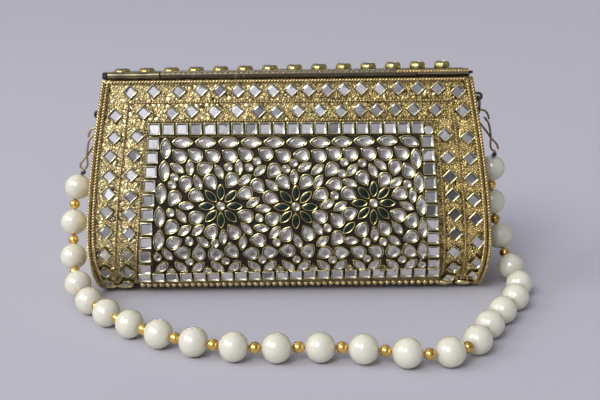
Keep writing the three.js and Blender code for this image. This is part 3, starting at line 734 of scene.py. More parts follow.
# Plate that follows the body between running lengths and two side lines, from one lift to another
def addStrip(pile, lengths, left, right, low, high):
    addSkin(pile, [
        [onBody(side(length), length, lift)[0]
         for side, lift in ((left, low), (right, low), (right, high), (left, high))]
        for length in lengths
    ])


plates = {
    "sheetThickness": 1.2, "seatGap": 0.3, "panelTop": 87.6, "panelBottom": 5.2,
    "panelTopHalfWidth": 71.6, "panelBottomHalfWidth": 77.0, "bandWidth": 6.9, "stations": 60,
}


def makePlates():
    sheet, lac, band = newPile(), newPile(), newPile()
    top, bottom = lengthAtHeight(plates["panelTop"]), lengthAtHeight(plates["panelBottom"])
    gap, wide = plates["seatGap"], plates["bandWidth"]

    def edge(length):
        return halfWidthAt(bodyAt(length)[0].z)

    # One side of the panel, at an inset from its outline
    def line(side, inset):
        def at(length):
            share = (length - top) / (bottom - top)
            wideHere = plates["panelTopHalfWidth"] * (1 - share) + plates["panelBottomHalfWidth"] * share
            return side * (wideHere - inset)
        return at

    def addPanelStrip(pile, first, last, left, right, carrier):
        addStrip(pile, spread(first, last, plates["stations"]), left, right, gap, carrierLift[carrier])

    addStrip(sheet, bodyLengths, lambda s: -edge(s), edge, -plates["sheetThickness"], 0)
    inset = wide + gap
    addPanelStrip(lac, top + inset, bottom - inset, line(-1, inset), line(1, inset), "panel")
    for first, last in ((top, top + wide), (bottom - wide, bottom)):
        addPanelStrip(band, first, last, line(-1, 0), line(1, 0), "band")
    for left, right in ((line(-1, 0), line(-1, wide)), (line(1, wide), line(1, 0))):
        addPanelStrip(band, top + wide, bottom - wide, left, right, "band")
    makePiece("brassSheet", sheet, "sheet", stands=("body_sheet",))
    makePiece("lacPlate", lac, "lac", stands=("kundan_panel",))
    makePiece("mirrorBand", band, "tarnished", stands=("mirror_frame",))


makePlates()
print("sheet, lac plate and mirror band laid")


# Ropes along the edges, each band two ropes of opposite twist side by side.
# A twist is its pitch, direction, strands, steps in a turn and sides of a strand.
ropes = {
    "edgeWidth": 4.2, "edgeSwell": 1.06, "edgeLift": 1.3, "edgeTopDrop": 1.4, "lineStep": 1.5,
    "edgeTwist": (4.4, 1, 3, 12, 6), "rimTwist": (4.6, -1, 3, 14, 7), "dividerTwist": (2.7, -1, 2, 9, 6),
    "rimRadius": 1.05, "dividerRadius": 0.66, "dividerSeat": 0.8, "rimHalfLength": 87.8,
    "rims": {"front": (-10.65, 107.75), "back": (12.2, 104.35)},
}


def makeEdgeRopes():
    radius, drop = ropes["edgeWidth"] / 4, ropes["edgeTopDrop"]
    last = bodyLengths[-1] - drop
    lengths = spread(drop, last, int((last - drop) / ropes["lineStep"]))
    pitch, twist, *section = ropes["edgeTwist"]
    for name, side in (("left", -1), ("right", 1)):
        pile = newPile()
        for lane, turn in ((1, twist), (3, -twist)):
            line = []
            for length in lengths:
                point = onBody(0, length, ropes["edgeLift"])[0]
                line.append(Vector((side * (halfWidthAt(point.z) - lane * radius), point.y, point.z)))
            addRope(pile, line, radius * ropes["edgeSwell"], pitch, turn * side, *section, side * xAxis)
        makePiece("edgeRopeStrands_" + name, pile, "rope", "bag", ("edge_rope_" + name,), 80)


def makeRimRopes():
    for name, (y, z) in ropes["rims"].items():
        pile = newPile()
        line = [Vector((side * ropes["rimHalfLength"], y, z)) for side in (-1, 1)]
        addRope(pile, line, ropes["rimRadius"], *ropes["rimTwist"], zAxis)
        makePiece("rimRopeStrands_" + name, pile, "rope", "bag", ("rim_rope_" + name,), 80)


# Divider ropes, through pixels of the photograph
dividers = {
    "underRowOne": [(131, 103), (210, 102), (290, 101.3), (370, 100.6), (449, 99.8)],
    "underRowTwo": [(145, 121.6), (220, 120.8), (300, 120.2), (370, 119.8), (436, 119.4)],
    "leftBand": [
        (128.5, 104), (125.6, 130), (122.6, 159), (119.4, 187), (117.2, 217), (115.4, 248), (116, 281),
    ],
    "rightBand": [
        (451.5, 101), (456.5, 137), (460.5, 178), (463.6, 200), (465.4, 225), (465.5, 250), (461, 277),
    ],
    "leftOfPanel": [(145.6, 124), (143.4, 152), (140.9, 190), (138.4, 232), (136.8, 262), (137, 281)],
    "rightOfPanel": [(437, 123), (440, 160), (442.6, 195), (444.4, 230), (444.2, 258), (441.5, 273)],
}


def makeDividers():
    pile = newPile()
    lift = ropes["dividerRadius"] * ropes["dividerSeat"]
    for route in dividers.values():
        seats = [seatUnder(px, py) for px, py in route]
        knots = [Vector((seat[0].x, lengthAtHeight(seat[0].z), 0)) for seat in seats]
        line = [onBody(p.x, p.y, lift)[0] for p in smoothThrough(knots, 10)]
        addRope(pile, line, ropes["dividerRadius"], *ropes["dividerTwist"])
    makePiece("dividerRopes", pile, "rope", sharp=80)


makeEdgeRopes()
makeRimRopes()
makeDividers()
print("ropes twisted")


# Diamond mirrors in the borders. A tray's four walls have one set of painted shades at the photograph's left
# pixel and another a width further right. Tones are a mean, a deviation and the most a mirror may have; the
# dark tone is a painted dark reflection.
diamonds = {
    "size": 5.5, "wall": 0.42, "draft": 0.46, "height": 1.9, "floor": 0.4, "plate": 0.75, "tilt": 0.05,
    "leftShades": (0.4, 0.92, 0.5, 0.1), "rightShades": (0.92, 0.45, 0.45, 0.0), "slip": 0.3, "turn": 45,
    "leftPixel": 100, "pixelWidth": 370, "tones": (0.3, 0.2), "mostTone": 0.75, "darkReflectionTone": 0.85,
}
# Their places, at pixels of the photograph
diamondRows = {
    "rowOne": [
        (130.3, 92.6), (153.7, 91.6), (178.9, 91.6), (200.9, 90.2), (219.6, 90.7), (237.8, 90.7),
        (254.7, 90.7), (272.9, 90.7), (291.4, 90.2), (308.4, 90.2), (327.2, 90.2), (344, 89.7),
        (361, 88.3), (379.7, 88.7), (397.8, 88.3), (417.4, 88.3), (437.5, 88.3), (457.6, 91.6),
    ],
    "rowTwo": [
        (143.7, 113.1), (171.9, 113.1), (191.7, 111.2), (214.4, 111.5), (236.8, 110.7), (258.8, 111.2),
        (276.5, 112.2), (298, 110.7), (320, 110.3), (340.6, 111.2), (360, 109.8), (376.8, 110.3),
        (395, 109.8), (413.6, 109.3), (435.6, 109.8), (462.4, 110.7),
    ],
    "leftOuter": [
        (115.4, 116), (114, 137.7), (110, 156.3), (109, 176.4), (108.1, 193.6), (106.4, 211.7),
        (105.9, 231.6), (104.6, 254), (105.6, 270.8), (106.5, 280.8),
    ],
    "leftInner": [
        (137, 136.4), (133.9, 155.6), (131, 175), (130.5, 196.2), (129.4, 214), (128.6, 233),
        (127.4, 253.6), (127.7, 270.3), (127.4, 281.6),
    ],
    "rightInner": [
        (444.5, 134.8), (447.4, 157.3), (449.5, 176.9), (451.9, 195), (454.3, 214), (455, 233),
        (453.8, 250.7), (453.2, 266), (448.6, 275.5),
    ],
    "rightOuter": [
        (467.3, 137.6), (469.6, 158.2), (470.7, 178.8), (473.4, 199.4), (475.3, 218.4), (477.7, 241.1),
        (476.8, 261.2), (472.9, 273),
    ],
}
# Mirrors given a painted dark reflection
darkReflectionMirrors = [
    (258.8, 111.2), (133.9, 155.6), (130.5, 196.2), (449.5, 176.9), (451.9, 195), (454.3, 214), (475.3, 218.4),
    (219.6, 90.7), (455, 233),
]


def makeDiamonds():
    cups, glass = newPile(), newPile()
    for px, py in [place for row in diamondRows.values() for place in row]:
        share = (px - diamonds["leftPixel"]) / diamonds["pixelWidth"]
        shades = [a + (b - a) * share for a, b in zip(diamonds["leftShades"], diamonds["rightShades"])]
        slip = (-diamonds["slip"] * share, -diamonds["slip"] * (1 - share))
        if (px, py) in darkReflectionMirrors:
            tone = diamonds["darkReflectionTone"]
        else:
            tone = min(diamonds["mostTone"], max(0, chance.gauss(*diamonds["tones"])))
        addMirror(cups, glass, seatUnder(px, py, "sheet", diamonds["turn"]), diamonds, slip, shades, tone)
    makePiece("diamondBezels", cups, "frame")
    makePiece("diamondMirrors", glass, "mirror")


# Square mirrors round the panel, and a round one in a corner. Shades are the painted light and shade of a
# tray's four walls.
squares = {
    "size": 6.05, "wall": 0.46, "draft": 0.5, "height": 1.5, "floor": 0.3, "plate": 0.55, "tilt": 0.04,
    "shades": (0.0, 0.88, 0.45, 0.3), "slip": (-0.2, -0.16), "tones": (0.22, 0.14), "darkReflectionTone": 0.75,
    "round": (428.4, 130.4), "roundShare": 0.8, "roundTone": 0.1,
}
# Each row's first and last pixel, its count and the ones in it that look dark, given a painted dark reflection
squareRows = (
    ((154.7, 130.2), (417.4, 128.6), 20, (3, 6, 7, 13)),
    ((153.6, 144.6), (145.2, 267.6), 10, (4,)),
    ((427.4, 142), (433.4, 262.6), 10, (2, 5)),
    ((145.1, 275.4), (433.4, 269.8), 22, (2, 9, 15)),
)


def makeSquares():
    cups, glass = newPile(), newPile()
    for first, last, count, dark in squareRows:
        start, end = (seatUnder(px, py, "band")[0] for px, py in (first, last))
        xs = spread(start.x, end.x, count - 1)
        lengths = spread(lengthAtHeight(start.z), lengthAtHeight(end.z), count - 1)
        for k, (x, length) in enumerate(zip(xs, lengths)):
            tone = squares["darkReflectionTone"] if k in dark else max(0, chance.gauss(*squares["tones"]))
            seat = levelSeat(x, length, carrierLift["band"])
            addMirror(cups, glass, seat, squares, squares["slip"], squares["shades"], tone)
    seat = seatUnder(*squares["round"], "band")
    size = squares["size"] * squares["roundShare"]
    addBezel(cups, seat, "round", size, size, squares)
    addPlate(glass, seat, "round", size, squares["wall"], squares["plate"] + 0.06, squares["roundTone"],
             mirrorSlope(squares["tilt"]))
    makePiece("squareBezels", cups, "frame")
    makePiece("squareMirrors", glass, "mirror")


makeDiamonds()
makeSquares()
print("mirrors set")


# Kundan field: clear foiled stones in thin bezels on the lac, at pixels of the photograph.
# The third number turns the stone: degrees from the picture's right, a pear's towards its tip.
# Each step of the dish is a share of the half width, a height, and how dark the foil is painted: a painted dark
# reflection towards its middle.
stones = {
    "wall": 0.48, "height": 1.2, "floor": 0.15, "back": 0.24, "girdle": 0.8, "crown": 0.85,
    "stoneFloor": 0.72, "usualWidth": 6.0, "crownPower": 0.6, "petalCrown": 0.35, "tones": (0.25, 0.75),
    "dish": (
        (0.0, 0.16, 0.0), (0.02, 0.7, 0.05), (0.14, 0.55, 0.0),
        (0.34, 0.38, 0.25), (0.6, 0.27, 0.7), (0.85, 0.24, 0.9),
    ),
    "sizes": {
        "large": ("marquise", 10.8, 5.8), "pear": ("pear", 8.6, 7.0), "small": ("marquise", 8.2, 4.4),
        "dot": ("round", 4.5, 4.5), "petal": ("marquise", 8.4, 4.1), "low": ("marquise", 8.9, 5.0),
    },
    "large": [
        (182.9, 142.6, 0), (206, 142.5, 0), (229.1, 142.4, 0), (251.7, 142.4, 0), (274.4, 142.4, 0),
        (297, 142.4, 0), (320.1, 142.4, 0), (342, 141.8, 0), (364.3, 141, 0), (387.3, 140.7, 0),
        (409.3, 141.3, -20), (166, 148.7, 90), (164.6, 171.1, 90), (161.4, 193.4, 88), (159.9, 216.8, 90),
        (159, 240.2, 80), (416, 158.7, 94), (419.1, 182.6, 92), (421.5, 205.1, 90), (423.2, 227.7, 90),
        (422.7, 249.3, 86),
    ],
    "pear": [
        (179.5, 155.8, 140), (195.3, 155.1, 145), (212.6, 155.6, 145), (229.7, 155.4, 145),
        (245.4, 154.1, 140), (265.5, 153.4, 150), (283, 155.1, 150), (301.4, 155.1, 180),
        (318.6, 155.1, 150), (333.9, 153, 150), (350, 153.6, 150), (368.2, 153, 150), (384.6, 153, 145),
        (401.2, 152.5, 140), (205.5, 168.1, 20), (186, 184.1, 270), (211.2, 182.1, 300),
        (231.4, 180.7, 235), (273.7, 170.9, 230), (331.3, 169.7, 230), (258.2, 186.3, 310),
        (283.7, 182.1, 310), (305.7, 182.1, 235), (333.9, 184, 185), (394.7, 167.3, 265),
        (407.9, 170.2, 120), (363.1, 178.3, 300), (384, 180.2, 240), (399.3, 193.6, 200),
        (174.3, 198.4, 240), (196.8, 196, 335), (244.7, 193.3, 200), (271, 197.9, 340),
        (320.1, 194.6, 205), (349, 194, 330), (197.2, 217, 20), (171.4, 227.3, 230), (212, 230.6, 60),
        (233.5, 231.1, 130), (245.4, 215.3, 160), (273.5, 218.2, 25), (319.6, 215.8, 155),
        (337, 219.6, 135), (350, 213, 20), (397.8, 214.3, 160), (412.2, 219.6, 60), (286.9, 233.5, 60),
        (307.6, 232.5, 120), (362.4, 228.7, 60), (384, 227.3, 125), (257.9, 239.7, 180),
        (337.3, 237.8, 230), (410.7, 236.4, 200), (174.8, 242.1, 25), (182.4, 252.1, 180),
        (199.1, 252.1, 90), (216.3, 253.6, 0), (232.5, 250.7, 315), (251.2, 252.6, 180),
        (270.3, 251.2, 0), (287.2, 249.7, 180), (308.6, 249.7, 50), (324.4, 252.1, 210),
        (341.6, 251.7, 0), (358.1, 250.7, 160), (375.8, 250.2, 155), (393.5, 250.7, 0),
        (409.8, 250.7, 330),
    ],
    "small": [
        (177.6, 168.3, -30), (190.3, 167.8, 90), (219.5, 172, -62), (239.2, 167.3, 90),
        (260.1, 170.7, 40), (304.8, 167.1, 30), (317.5, 169.4, 40), (294.2, 176.9, 90),
        (198.2, 182.4, -65), (245.2, 179.9, 40), (272.2, 185.3, -40), (318.4, 181.5, 60),
        (350, 182.8, -20), (352, 170, 50), (373, 170.7, -65), (380.6, 164.9, -40), (396.1, 182.4, 40),
        (412.7, 195.1, 90), (406.9, 205.8, -25), (186.5, 205.6, 0), (253.3, 202.2, 35),
        (263.6, 208.3, 0), (327.2, 204.1, 28), (340.1, 206.1, 33), (181.6, 216, -52), (184.8, 230.1, 36),
        (198.2, 229.7, 40), (203.4, 241.6, -36), (167.6, 253.6, -46), (223.4, 236.8, 90),
        (247.1, 228.7, -44), (261.5, 227.7, 0), (275.1, 232, 48), (298.1, 241.1, -65),
        (317.9, 228.2, -55), (243, 242.1, 80), (322.5, 240.7, 38), (351, 240, 0), (374.7, 234, 90),
        (397.4, 227.7, -52), (394, 239.7, -35),
    ],
    "dot": [
        (174.8, 177.4), (172.4, 185), (170.6, 212.6), (257.1, 161.4), (228.4, 167.3), (249.3, 167.5),
        (293.8, 163), (286.4, 169), (344.3, 162.2), (342.1, 173.5), (362.1, 163), (334.7, 195.5),
        (407.4, 184.1), (259.3, 217.5), (276.8, 241.6), (215.3, 242.8), (327.5, 227.7), (366.3, 241.1),
        (383, 241.1), (189.6, 240.9), (157.8, 256.3), (189.8, 260.7), (225.8, 260.1), (262.4, 258.8),
        (296.6, 258.4), (332.5, 258.8), (367, 257.4), (402.1, 258.4), (171.6, 270.3), (208, 269.6),
        (244.3, 268.4), (279.4, 268.4), (313.4, 267.4), (348.8, 267), (382.5, 267), (421.7, 263.6),
        (221, 206.1), (296, 206.7), (373.6, 202.9),
    ],
    "low": {
        "xs": [162.3, 181.5, 198.5, 217.7, 234.9, 254.5, 270.3, 288.5, 304.1, 323.7, 340.2, 359.1, 374.4,
               392.6, 410.7],
        "firstY": 266.4, "lastY": 263.2, "tip": 38,
    },
}
flowers = {
    "petals": 8, "petalReach": 13.9, "extra": (349, 227.5, 45),
    "centres": [(221, 206.1), (296, 206.9), (373.6, 202.9)],
}


# Foil pressed to a shallow dish under a stone, darker towards its middle: a painted dark reflection
def addDish(pile, seat, shape, length, width, tone):
    wall = stones["wall"]
    rings = [ringOn(seat, shape, length, width, wall + 0.01 + (width / 2 - wall) * share, lift)
             for share, lift, dark in stones["dish"]]
    addSkin(pile, rings, [dark * tone for share, lift, dark in stones["dish"] for p in rings[0]])


def makeStones():
    bezels, foils, crystals, petals = newPile(), newPile(), newPile(), newPile()
    wall, girdle = stones["wall"], stones["girdle"]

    def addSetting(kind, px, py, tip=0):
        shape, length, width = stones["sizes"][kind]
        seat = seatUnder(px, py, "panel", tip)
        addBezel(bezels, seat, shape, length, width, stones)
        if kind == "petal":
            addStone(petals, seat, shape, length, width, wall, stones["back"], girdle, stones["petalCrown"])
            return
        addDish(foils, seat, shape, length, width, chance.uniform(*stones["tones"]))
        crown = stones["crown"] * (width / stones["usualWidth"]) ** stones["crownPower"]
        addStone(crystals, seat, shape, length, width, wall, stones["stoneFloor"], girdle, crown)

    for kind in ("large", "pear", "small", "dot"):
        for place in stones[kind]:
            addSetting(kind, *place)
    low = stones["low"]
    for k, (px, py) in enumerate(zip(low["xs"], spread(low["firstY"], low["lastY"], len(low["xs"]) - 1))):
        addSetting("low", px, py, low["tip"] if k % 2 == 0 else -low["tip"])
    for cx, cy in flowers["centres"]:
        for a in turns(flowers["petals"]):
            reach = flowers["petalReach"]
            addSetting("petal", cx + reach * math.cos(a), cy - reach * math.sin(a), math.degrees(a))
    addSetting("petal", *flowers["extra"])
    makePiece("kundanBezels", bezels, "bezel")
    makePiece("kundanFoils", foils, "foil")
    makePiece("kundanStones", crystals, "crystal", sharp=50)
    makePiece("flowerPetals", petals, "petal", sharp=50)


makeStones()
print("kundan stones set")


# Filigree on the sheet: scrolls of wire, leaves and grain flowers between the mirrors.
# Reaches from diamonds, dividers and flowers are in pixels, other measures in millimetres.
filigree = {
    "wire": 0.26, "loopRadius": 1.3, "loopSteps": 11, "loopTurns": 1.15, "loopShrink": 0.62, "loopLift": 0.2,
    "loopWobble": 0.08, "loopSizes": (0.75, 1.05), "grain": 0.5, "grainSizes": (0.9, 1.3),
    "middleGrain": 1.1, "flowerReach": 1.08, "flowerGrains": 5, "rightFlowerGrains": 6,
    "leafLength": 4.4, "leafWidth": 1.9, "leafSizes": (0.8, 1.15),
    "diamondReach": 8.4, "dividerReach": 2.6, "flowerGap": 4.2, "jitter": 0.7,
    "footGap": 0.6, "edgeGap": 4.8, "leftPixel": 107, "pixelWidth": 367,
    "flowerRows": ("rightInner", "rightOuter", "rowOne", "rowTwo", "leftInner", "leftOuter"),
    "scallops": {"count": 48, "reach": 76.0, "height": 5.5, "lift": 1.0, "radius": 1.6, "sides": 10},
    "lips": {"xs": (-93.5, -85.5, 80.0, 89.5), "height": 4.4, "lift": 1.0, "radius": 1.5, "sides": 16,
             "stretch": 3.1},
}
# Each zone is given by its left and right edges, as x at heights y of the photograph.
# Leaves, loops and flowers are the running shares of a zone's places; the rest have a single grain.
zones = {
    "rows": {
        "top": (84.5, 80.8), "bottom": 120.2, "leaves": 0.06, "loops": 0.46, "flowers": 0.66, "pitch": 4.1,
        "left": [(111, 84), (107, 121)], "right": [(468, 80), (474, 121)],
    },
    "leftBand": {
        "top": (122, 122), "bottom": 288, "leaves": 0.3, "loops": 0.8, "flowers": 0.82, "pitch": 4.6,
        "left": [(107, 122), (102.5, 150), (97.5, 200), (96.5, 240), (100, 290)],
        "right": [(144, 122), (139, 190), (136, 262), (136, 290)],
    },
    "rightBand": {
        "top": (121, 121), "bottom": 284, "leaves": 0.02, "loops": 0.36, "flowers": 0.66, "pitch": 3.5,
        "left": [(439, 121), (444, 195), (446, 230), (445, 258), (442, 286)],
        "right": [(474, 121), (478, 168), (481.5, 216), (480, 257), (472, 286)],
    },
}


def alongLine(knots, at, key, value):
    for a, b in zip(knots, knots[1:]):
        if a[key] <= at <= b[key]:
            return a[value] + (b[value] - a[value]) * (at - a[key]) / (b[key] - a[key])
    return knots[-1][value] if at > knots[-1][key] else knots[0][value]


def onFront(px, py):
    hit = carriers["sheet"].ray_cast(eyePoint, sightLine(px, py))[0]
    if hit is None or hit.z <= body["baseHeight"] + filigree["footGap"]:
        return False
    return abs(hit.x) < halfWidthAt(hit.z) - filigree["edgeGap"]


def nearDivider(px, py):
    place = (px, py)
    for name, route in dividers.items():
        key = 0 if name.startswith("under") else 1
        if route[0][key] <= place[key] <= route[-1][key]:
            if abs(place[1 - key] - alongLine(route, place[key], key, 1 - key)) < filigree["dividerReach"]:
                return True
    return False


def addLoop(pile, seat, radius, turn):
    centre, normal, along, across = seat
    line = []
    for share in spread(0, 1, filigree["loopSteps"]):
        wobble = chance.uniform(-filigree["loopWobble"], filigree["loopWobble"])
        a = wobble + turn * 2 * math.pi * filigree["loopTurns"] * share
        reach = radius * (1 - filigree["loopShrink"] * share)
        out = (along * math.cos(a) + across * math.sin(a)) * reach
        line.append(centre + normal * filigree["loopLift"] + out)
    addWire(pile, line, filigree["wire"], 5, normal)


def addLeaf(pile, seat, size):
    length, width = filigree["leafLength"] * size, filigree["leafWidth"] * size
    # Its foot is darker, painted shade where the leaf meets the sheet
    steps = ((0, -0.1, 0.7), (0.12, 0.35, 0.05), (0.5, 0.62, 0.0))
    rings = [ringOn(seat, "leaf", length, width, inset, lift) for inset, lift, dark in steps]
    addSkin(pile, rings, [dark for inset, lift, dark in steps for p in rings[0]])


def addFlower(pile, seat, grains):
    centre, normal, along, across = seat
    addGrain(pile, seat, filigree["grain"] * filigree["middleGrain"])
    phase = chance.uniform(0, 1)
    for k in range(grains):
        a = 2 * math.pi * (k + phase) / grains
        place = centre + (along * math.cos(a) + across * math.sin(a)) * filigree["flowerReach"]
        addGrain(pile, (place, normal, along, across), filigree["grain"])


# What stands at a place is drawn by lot, by the shares of its zone
def addOrnament(piles, zone, px, py):
    scrolls, leaves, grains = piles
    kind = chance.random()
    seat = seatUnder(px, py, "sheet", chance.uniform(0, 360))
    if kind < zone["leaves"]:
        addLeaf(leaves, seat, chance.uniform(*filigree["leafSizes"]))
    elif kind < zone["loops"]:
        radius = filigree["loopRadius"] * chance.uniform(*filigree["loopSizes"])
        addLoop(scrolls, seat, radius, chance.choice((-1, 1)))
    elif kind < zone["flowers"]:
        addFlower(grains, seat, filigree["flowerGrains"])
    else:
        addGrain(grains, seat, filigree["grain"] * chance.uniform(*filigree["grainSizes"]))


# Places of a zone: rows of even pitch, each place moved a little by chance
def zonePlaces(zone):
    jitter = filigree["jitter"]
    fall = zone["top"][1] - zone["top"][0]
    y = zone["top"][0]
    while y < zone["bottom"]:
        x, last = alongLine(zone["left"], y, 1, 0), alongLine(zone["right"], y, 1, 0)
        while x < last:
            px = x + chance.uniform(-jitter, jitter)
            slip = fall * (px - filigree["leftPixel"]) / filigree["pixelWidth"]
            yield px, y + slip + chance.uniform(-jitter, jitter)
            x += zone["pitch"]
        y += zone["pitch"]


def makeFiligree():
    scrolls, leaves, grains = newPile(), newPile(), newPile()
    diamondPlaces = [place for row in diamondRows.values() for place in row]
    taken = []
    for name in filigree["flowerRows"]:
        count = filigree["rightFlowerGrains" if name.startswith("right") else "flowerGrains"]
        for (ax, ay), (bx, by) in zip(diamondRows[name], diamondRows[name][1:]):
            px, py = (ax + bx) / 2, (ay + by) / 2
            addFlower(grains, seatUnder(px, py), count)
            taken.append((px, py))

    def isFree(px, py):
        clear = all(abs(px - ax) + abs(py - ay) > filigree["diamondReach"] for ax, ay in diamondPlaces)
        clear = clear and all(math.hypot(px - ax, py - ay) > filigree["flowerGap"] for ax, ay in taken)
        return clear and not nearDivider(px, py) and onFront(px, py)

    for zone in zones.values():
        for px, py in zonePlaces(zone):
            if isFree(px, py):
                addOrnament((scrolls, leaves, grains), zone, px, py)
    scallops = filigree["scallops"]
    for x in spread(-scallops["reach"], scallops["reach"], scallops["count"] - 1):
        seat = levelSeat(x, lengthAtHeight(scallops["height"]), scallops["lift"])
        addGrain(grains, seat, scallops["radius"], scallops["sides"])
    lips = filigree["lips"]
    for x in lips["xs"]:
        centre, normal, along, across = levelSeat(x, lengthAtHeight(lips["height"]), lips["lift"])
        addGrain(grains, (centre, normal, along * lips["stretch"], across), lips["radius"], lips["sides"])
    makePiece("filigreeScrolls", scrolls, "filigree", sharp=80)
    makePiece("filigreeLeaves", leaves, "filigree", sharp=60)
    makePiece("filigreeGrains", grains, "filigree", sharp=80)


makeFiligree()
print("filigree soldered on")


# Hinge: three knuckles on the pin, a filigree strip on the lid's knuckle and a rope along the right end.
# Angles run round the tube from the front.
hinge = {
    "y": -9.5, "z": 110.8, "radius": 1.9, "bore": 1.0, "soft": 0.25, "sides": 40,
    "knuckles": {"left": (-89.4, -63.4), "middle": (-63.1, 64.1), "right": (64.4, 90.0)},
    "toneStep": 0.9, "shadeBelow": 24, "brightLines": (-46.5, -25.5, -21.7), "brightReach": 0.7,
    "clearRight": (-14, 7),
}
hingeStrip = {
    "from": -62.5, "to": 53.6, "pitch": 2.6, "wire": 0.2, "edges": (22, 88), "edgeLift": 0.02,
    "middle": 55, "loop": (1.05, 26), "loopSteps": 12, "loopLift": 0.06, "grain": 0.42,
}
hingeRope = {"from": 54.6, "to": 90.0, "angle": 42, "sink": -0.35, "radius": 1.0, "twist": (4.5, -1, 3, 14, 7)}


def onTube(x, angle, lift=0.0):
    a = math.radians(angle)
    out = Vector((0, -math.cos(a), math.sin(a)))
    return Vector((x, hinge["y"], hinge["z"])) + out * (hinge["radius"] + lift), out


# Painted light and shade on the tube: painted reflection streaks along the left knuckle, painted shade near
# black on the lower side below the strip and below the rope, painted highlight lines on the middle knuckle and
# a lit band along the front of the right one
def tubeShading(name, x, angle):
    low = (angle + 180) % 360 - 180
    if name == "left":
        streak = 0.34 * math.sin(low / 6 + math.sin(x / 7) * 1.6) + 0.15 * math.sin(x / 1.7)
        return max(0.0, min(0.9, 0.42 + streak))
    if name == "right":
        below, above = hinge["clearRight"]
        return 0.0 if below < low < above else 0.9 if low <= below else 0.5
    if low < hinge["shadeBelow"] + 4 * math.sin(x / 9):
        return 0.25 if any(abs(x - at) < hinge["brightReach"] for at in hinge["brightLines"]) else 0.66
    return 0.3 + 0.2 * math.sin(x / 2.3) * math.sin(x / 0.9 + low / 14)


def makeKnuckles():
    soft, radius = hinge["soft"], hinge["radius"]
    angles = [math.degrees(a) for a in turns(hinge["sides"])]
    for name, (x0, x1) in hinge["knuckles"].items():
        pile = newPile()
        steps = [(x0, hinge["bore"]), (x0, radius - soft)]
        steps += [(x, radius) for x in spread(x0 + soft, x1 - soft, round((x1 - x0) / hinge["toneStep"]))]
        steps += [(x1, radius - soft), (x1, hinge["bore"])]
        rings = [[onTube(x, angle, r - radius)[0] for angle in angles] for x, r in steps]
        addSkin(pile, rings, [tubeShading(name, x, angle) for x, r in steps for angle in angles], joined=True)
        makePiece("hingeTube_" + name, pile, "hinge", "lid" if name == "middle" else "bag",
                  ("hinge_knuckle_" + name,))


def makeHingeStrip():
    pile = newPile()
    first, last, pitch = hingeStrip["from"], hingeStrip["to"], hingeStrip["pitch"]
    wide, high = hingeStrip["loop"]
    for angle in hingeStrip["edges"]:
        line = [onTube(x, angle, hingeStrip["edgeLift"])[0] for x in (first, last)]
        addWire(pile, line, hingeStrip["wire"], 6)
    for k in range(int((last - first) / pitch)):
        x, middle = first + pitch * (k + 0.5), hingeStrip["middle"]
        point, out = onTube(x, middle)
        line = [onTube(x + wide * math.cos(a), middle + high * math.sin(a), hingeStrip["loopLift"])[0]
                for a in spread(0, 2 * math.pi, hingeStrip["loopSteps"])]
        addWire(pile, line, hingeStrip["wire"], 5, out)
        addGrain(pile, (point, out, xAxis, out.cross(xAxis)), hingeStrip["grain"])
    makePiece("hingeStrip", pile, "strip", "lid", sharp=80)


def makeHingeRope():
    pile = newPile()
    line = [onTube(hingeRope[end], hingeRope["angle"], hingeRope["sink"])[0] for end in ("from", "to")]
    addRope(pile, line, hingeRope["radius"], *hingeRope["twist"], zAxis)
    makePiece("hingeRope", pile, "rope", sharp=80)


# Lid settings: low rounded cups with worn stones, rising towards the right.
# Each level of a cup's profile has its waviness, share of the height, inset and darkness. The darkness paints a
# shadow under the cup's foot and shade at its inner rim by the stone, and the scallops' valleys get painted
# shade.
lidCups = {
    "count": 14, "pitch": 12.5, "firstX": -84, "middleY": 1.9, "plateTop": 110.1, "height": 2.1, "rise": 1.8,
    "radius": 4.08, "scallops": 12, "points": 48, "lobePower": 0.7, "waveOut": 0.14, "waveUp": 0.26,
    "valleyShade": 0.5, "speckle": 0.12, "stoneInset": 1.3, "stoneSeat": 1.04, "tones": (0.3, 0.1),
    "profile": (
        (0, 0.0, 0.05, 0.9), (0, 0.22, 0.02, 0.5), (0.1, 0.5, 0, 0.12), (0.4, 0.78, 0.12, 0.05),
        (0.8, 0.96, 0.4, 0.0), (1, 1.12, 0.8, 0.05), (0.9, 1.16, 1.15, 0.3), (0.2, 1.04, 1.35, 0.7),
    ),
}


def addLidCup(pile, centre, height):
    rings, tones = [], []
    for wave, share, inset, tone in lidCups["profile"]:
        ring = []
        for a in turns(lidCups["points"]):
            lobe = abs(math.cos(lidCups["scallops"] * a / 2)) ** lidCups["lobePower"]
            r = lidCups["radius"] - inset + lidCups["waveOut"] * wave * (lobe - 0.6)
            z = height * share + lidCups["waveUp"] * wave * (lobe - 0.5)
            speckle = chance.uniform(-lidCups["speckle"], lidCups["speckle"])
            ring.append(centre + Vector((r * math.cos(a), r * math.sin(a), z)))
            tones.append(min(1, max(0, tone + lidCups["valleyShade"] * wave * (0.45 - lobe) + speckle)))
        rings.append(ring)
    addSkin(pile, rings, tones)


def makeLidCups():
    cups, foils, crystals = newPile(), newPile(), newPile()
    size = 2 * (lidCups["radius"] - lidCups["stoneInset"])
    heights = spread(lidCups["height"], lidCups["height"] + lidCups["rise"], lidCups["count"] - 1)
    for i, height in enumerate(heights):
        centre = Vector((lidCups["firstX"] + i * lidCups["pitch"], lidCups["middleY"], lidCups["plateTop"]))
        seat, top = (centre, zAxis, xAxis, yAxis), height * lidCups["stoneSeat"]
        addLidCup(cups, centre, height)
        addPlate(foils, seat, "round", size, 0.05, top + 0.03, max(0, chance.gauss(*lidCups["tones"])))
        addStone(crystals, seat, "round", size, size, 0.05, top + 0.06, top + 0.12, 0.55)
    makePiece("lidCups", cups, "cup", "lid", sharp=70)
    makePiece("lidFoils", foils, "cup", "lid")
    makePiece("lidStones", crystals, "crystal", "lid", sharp=50)


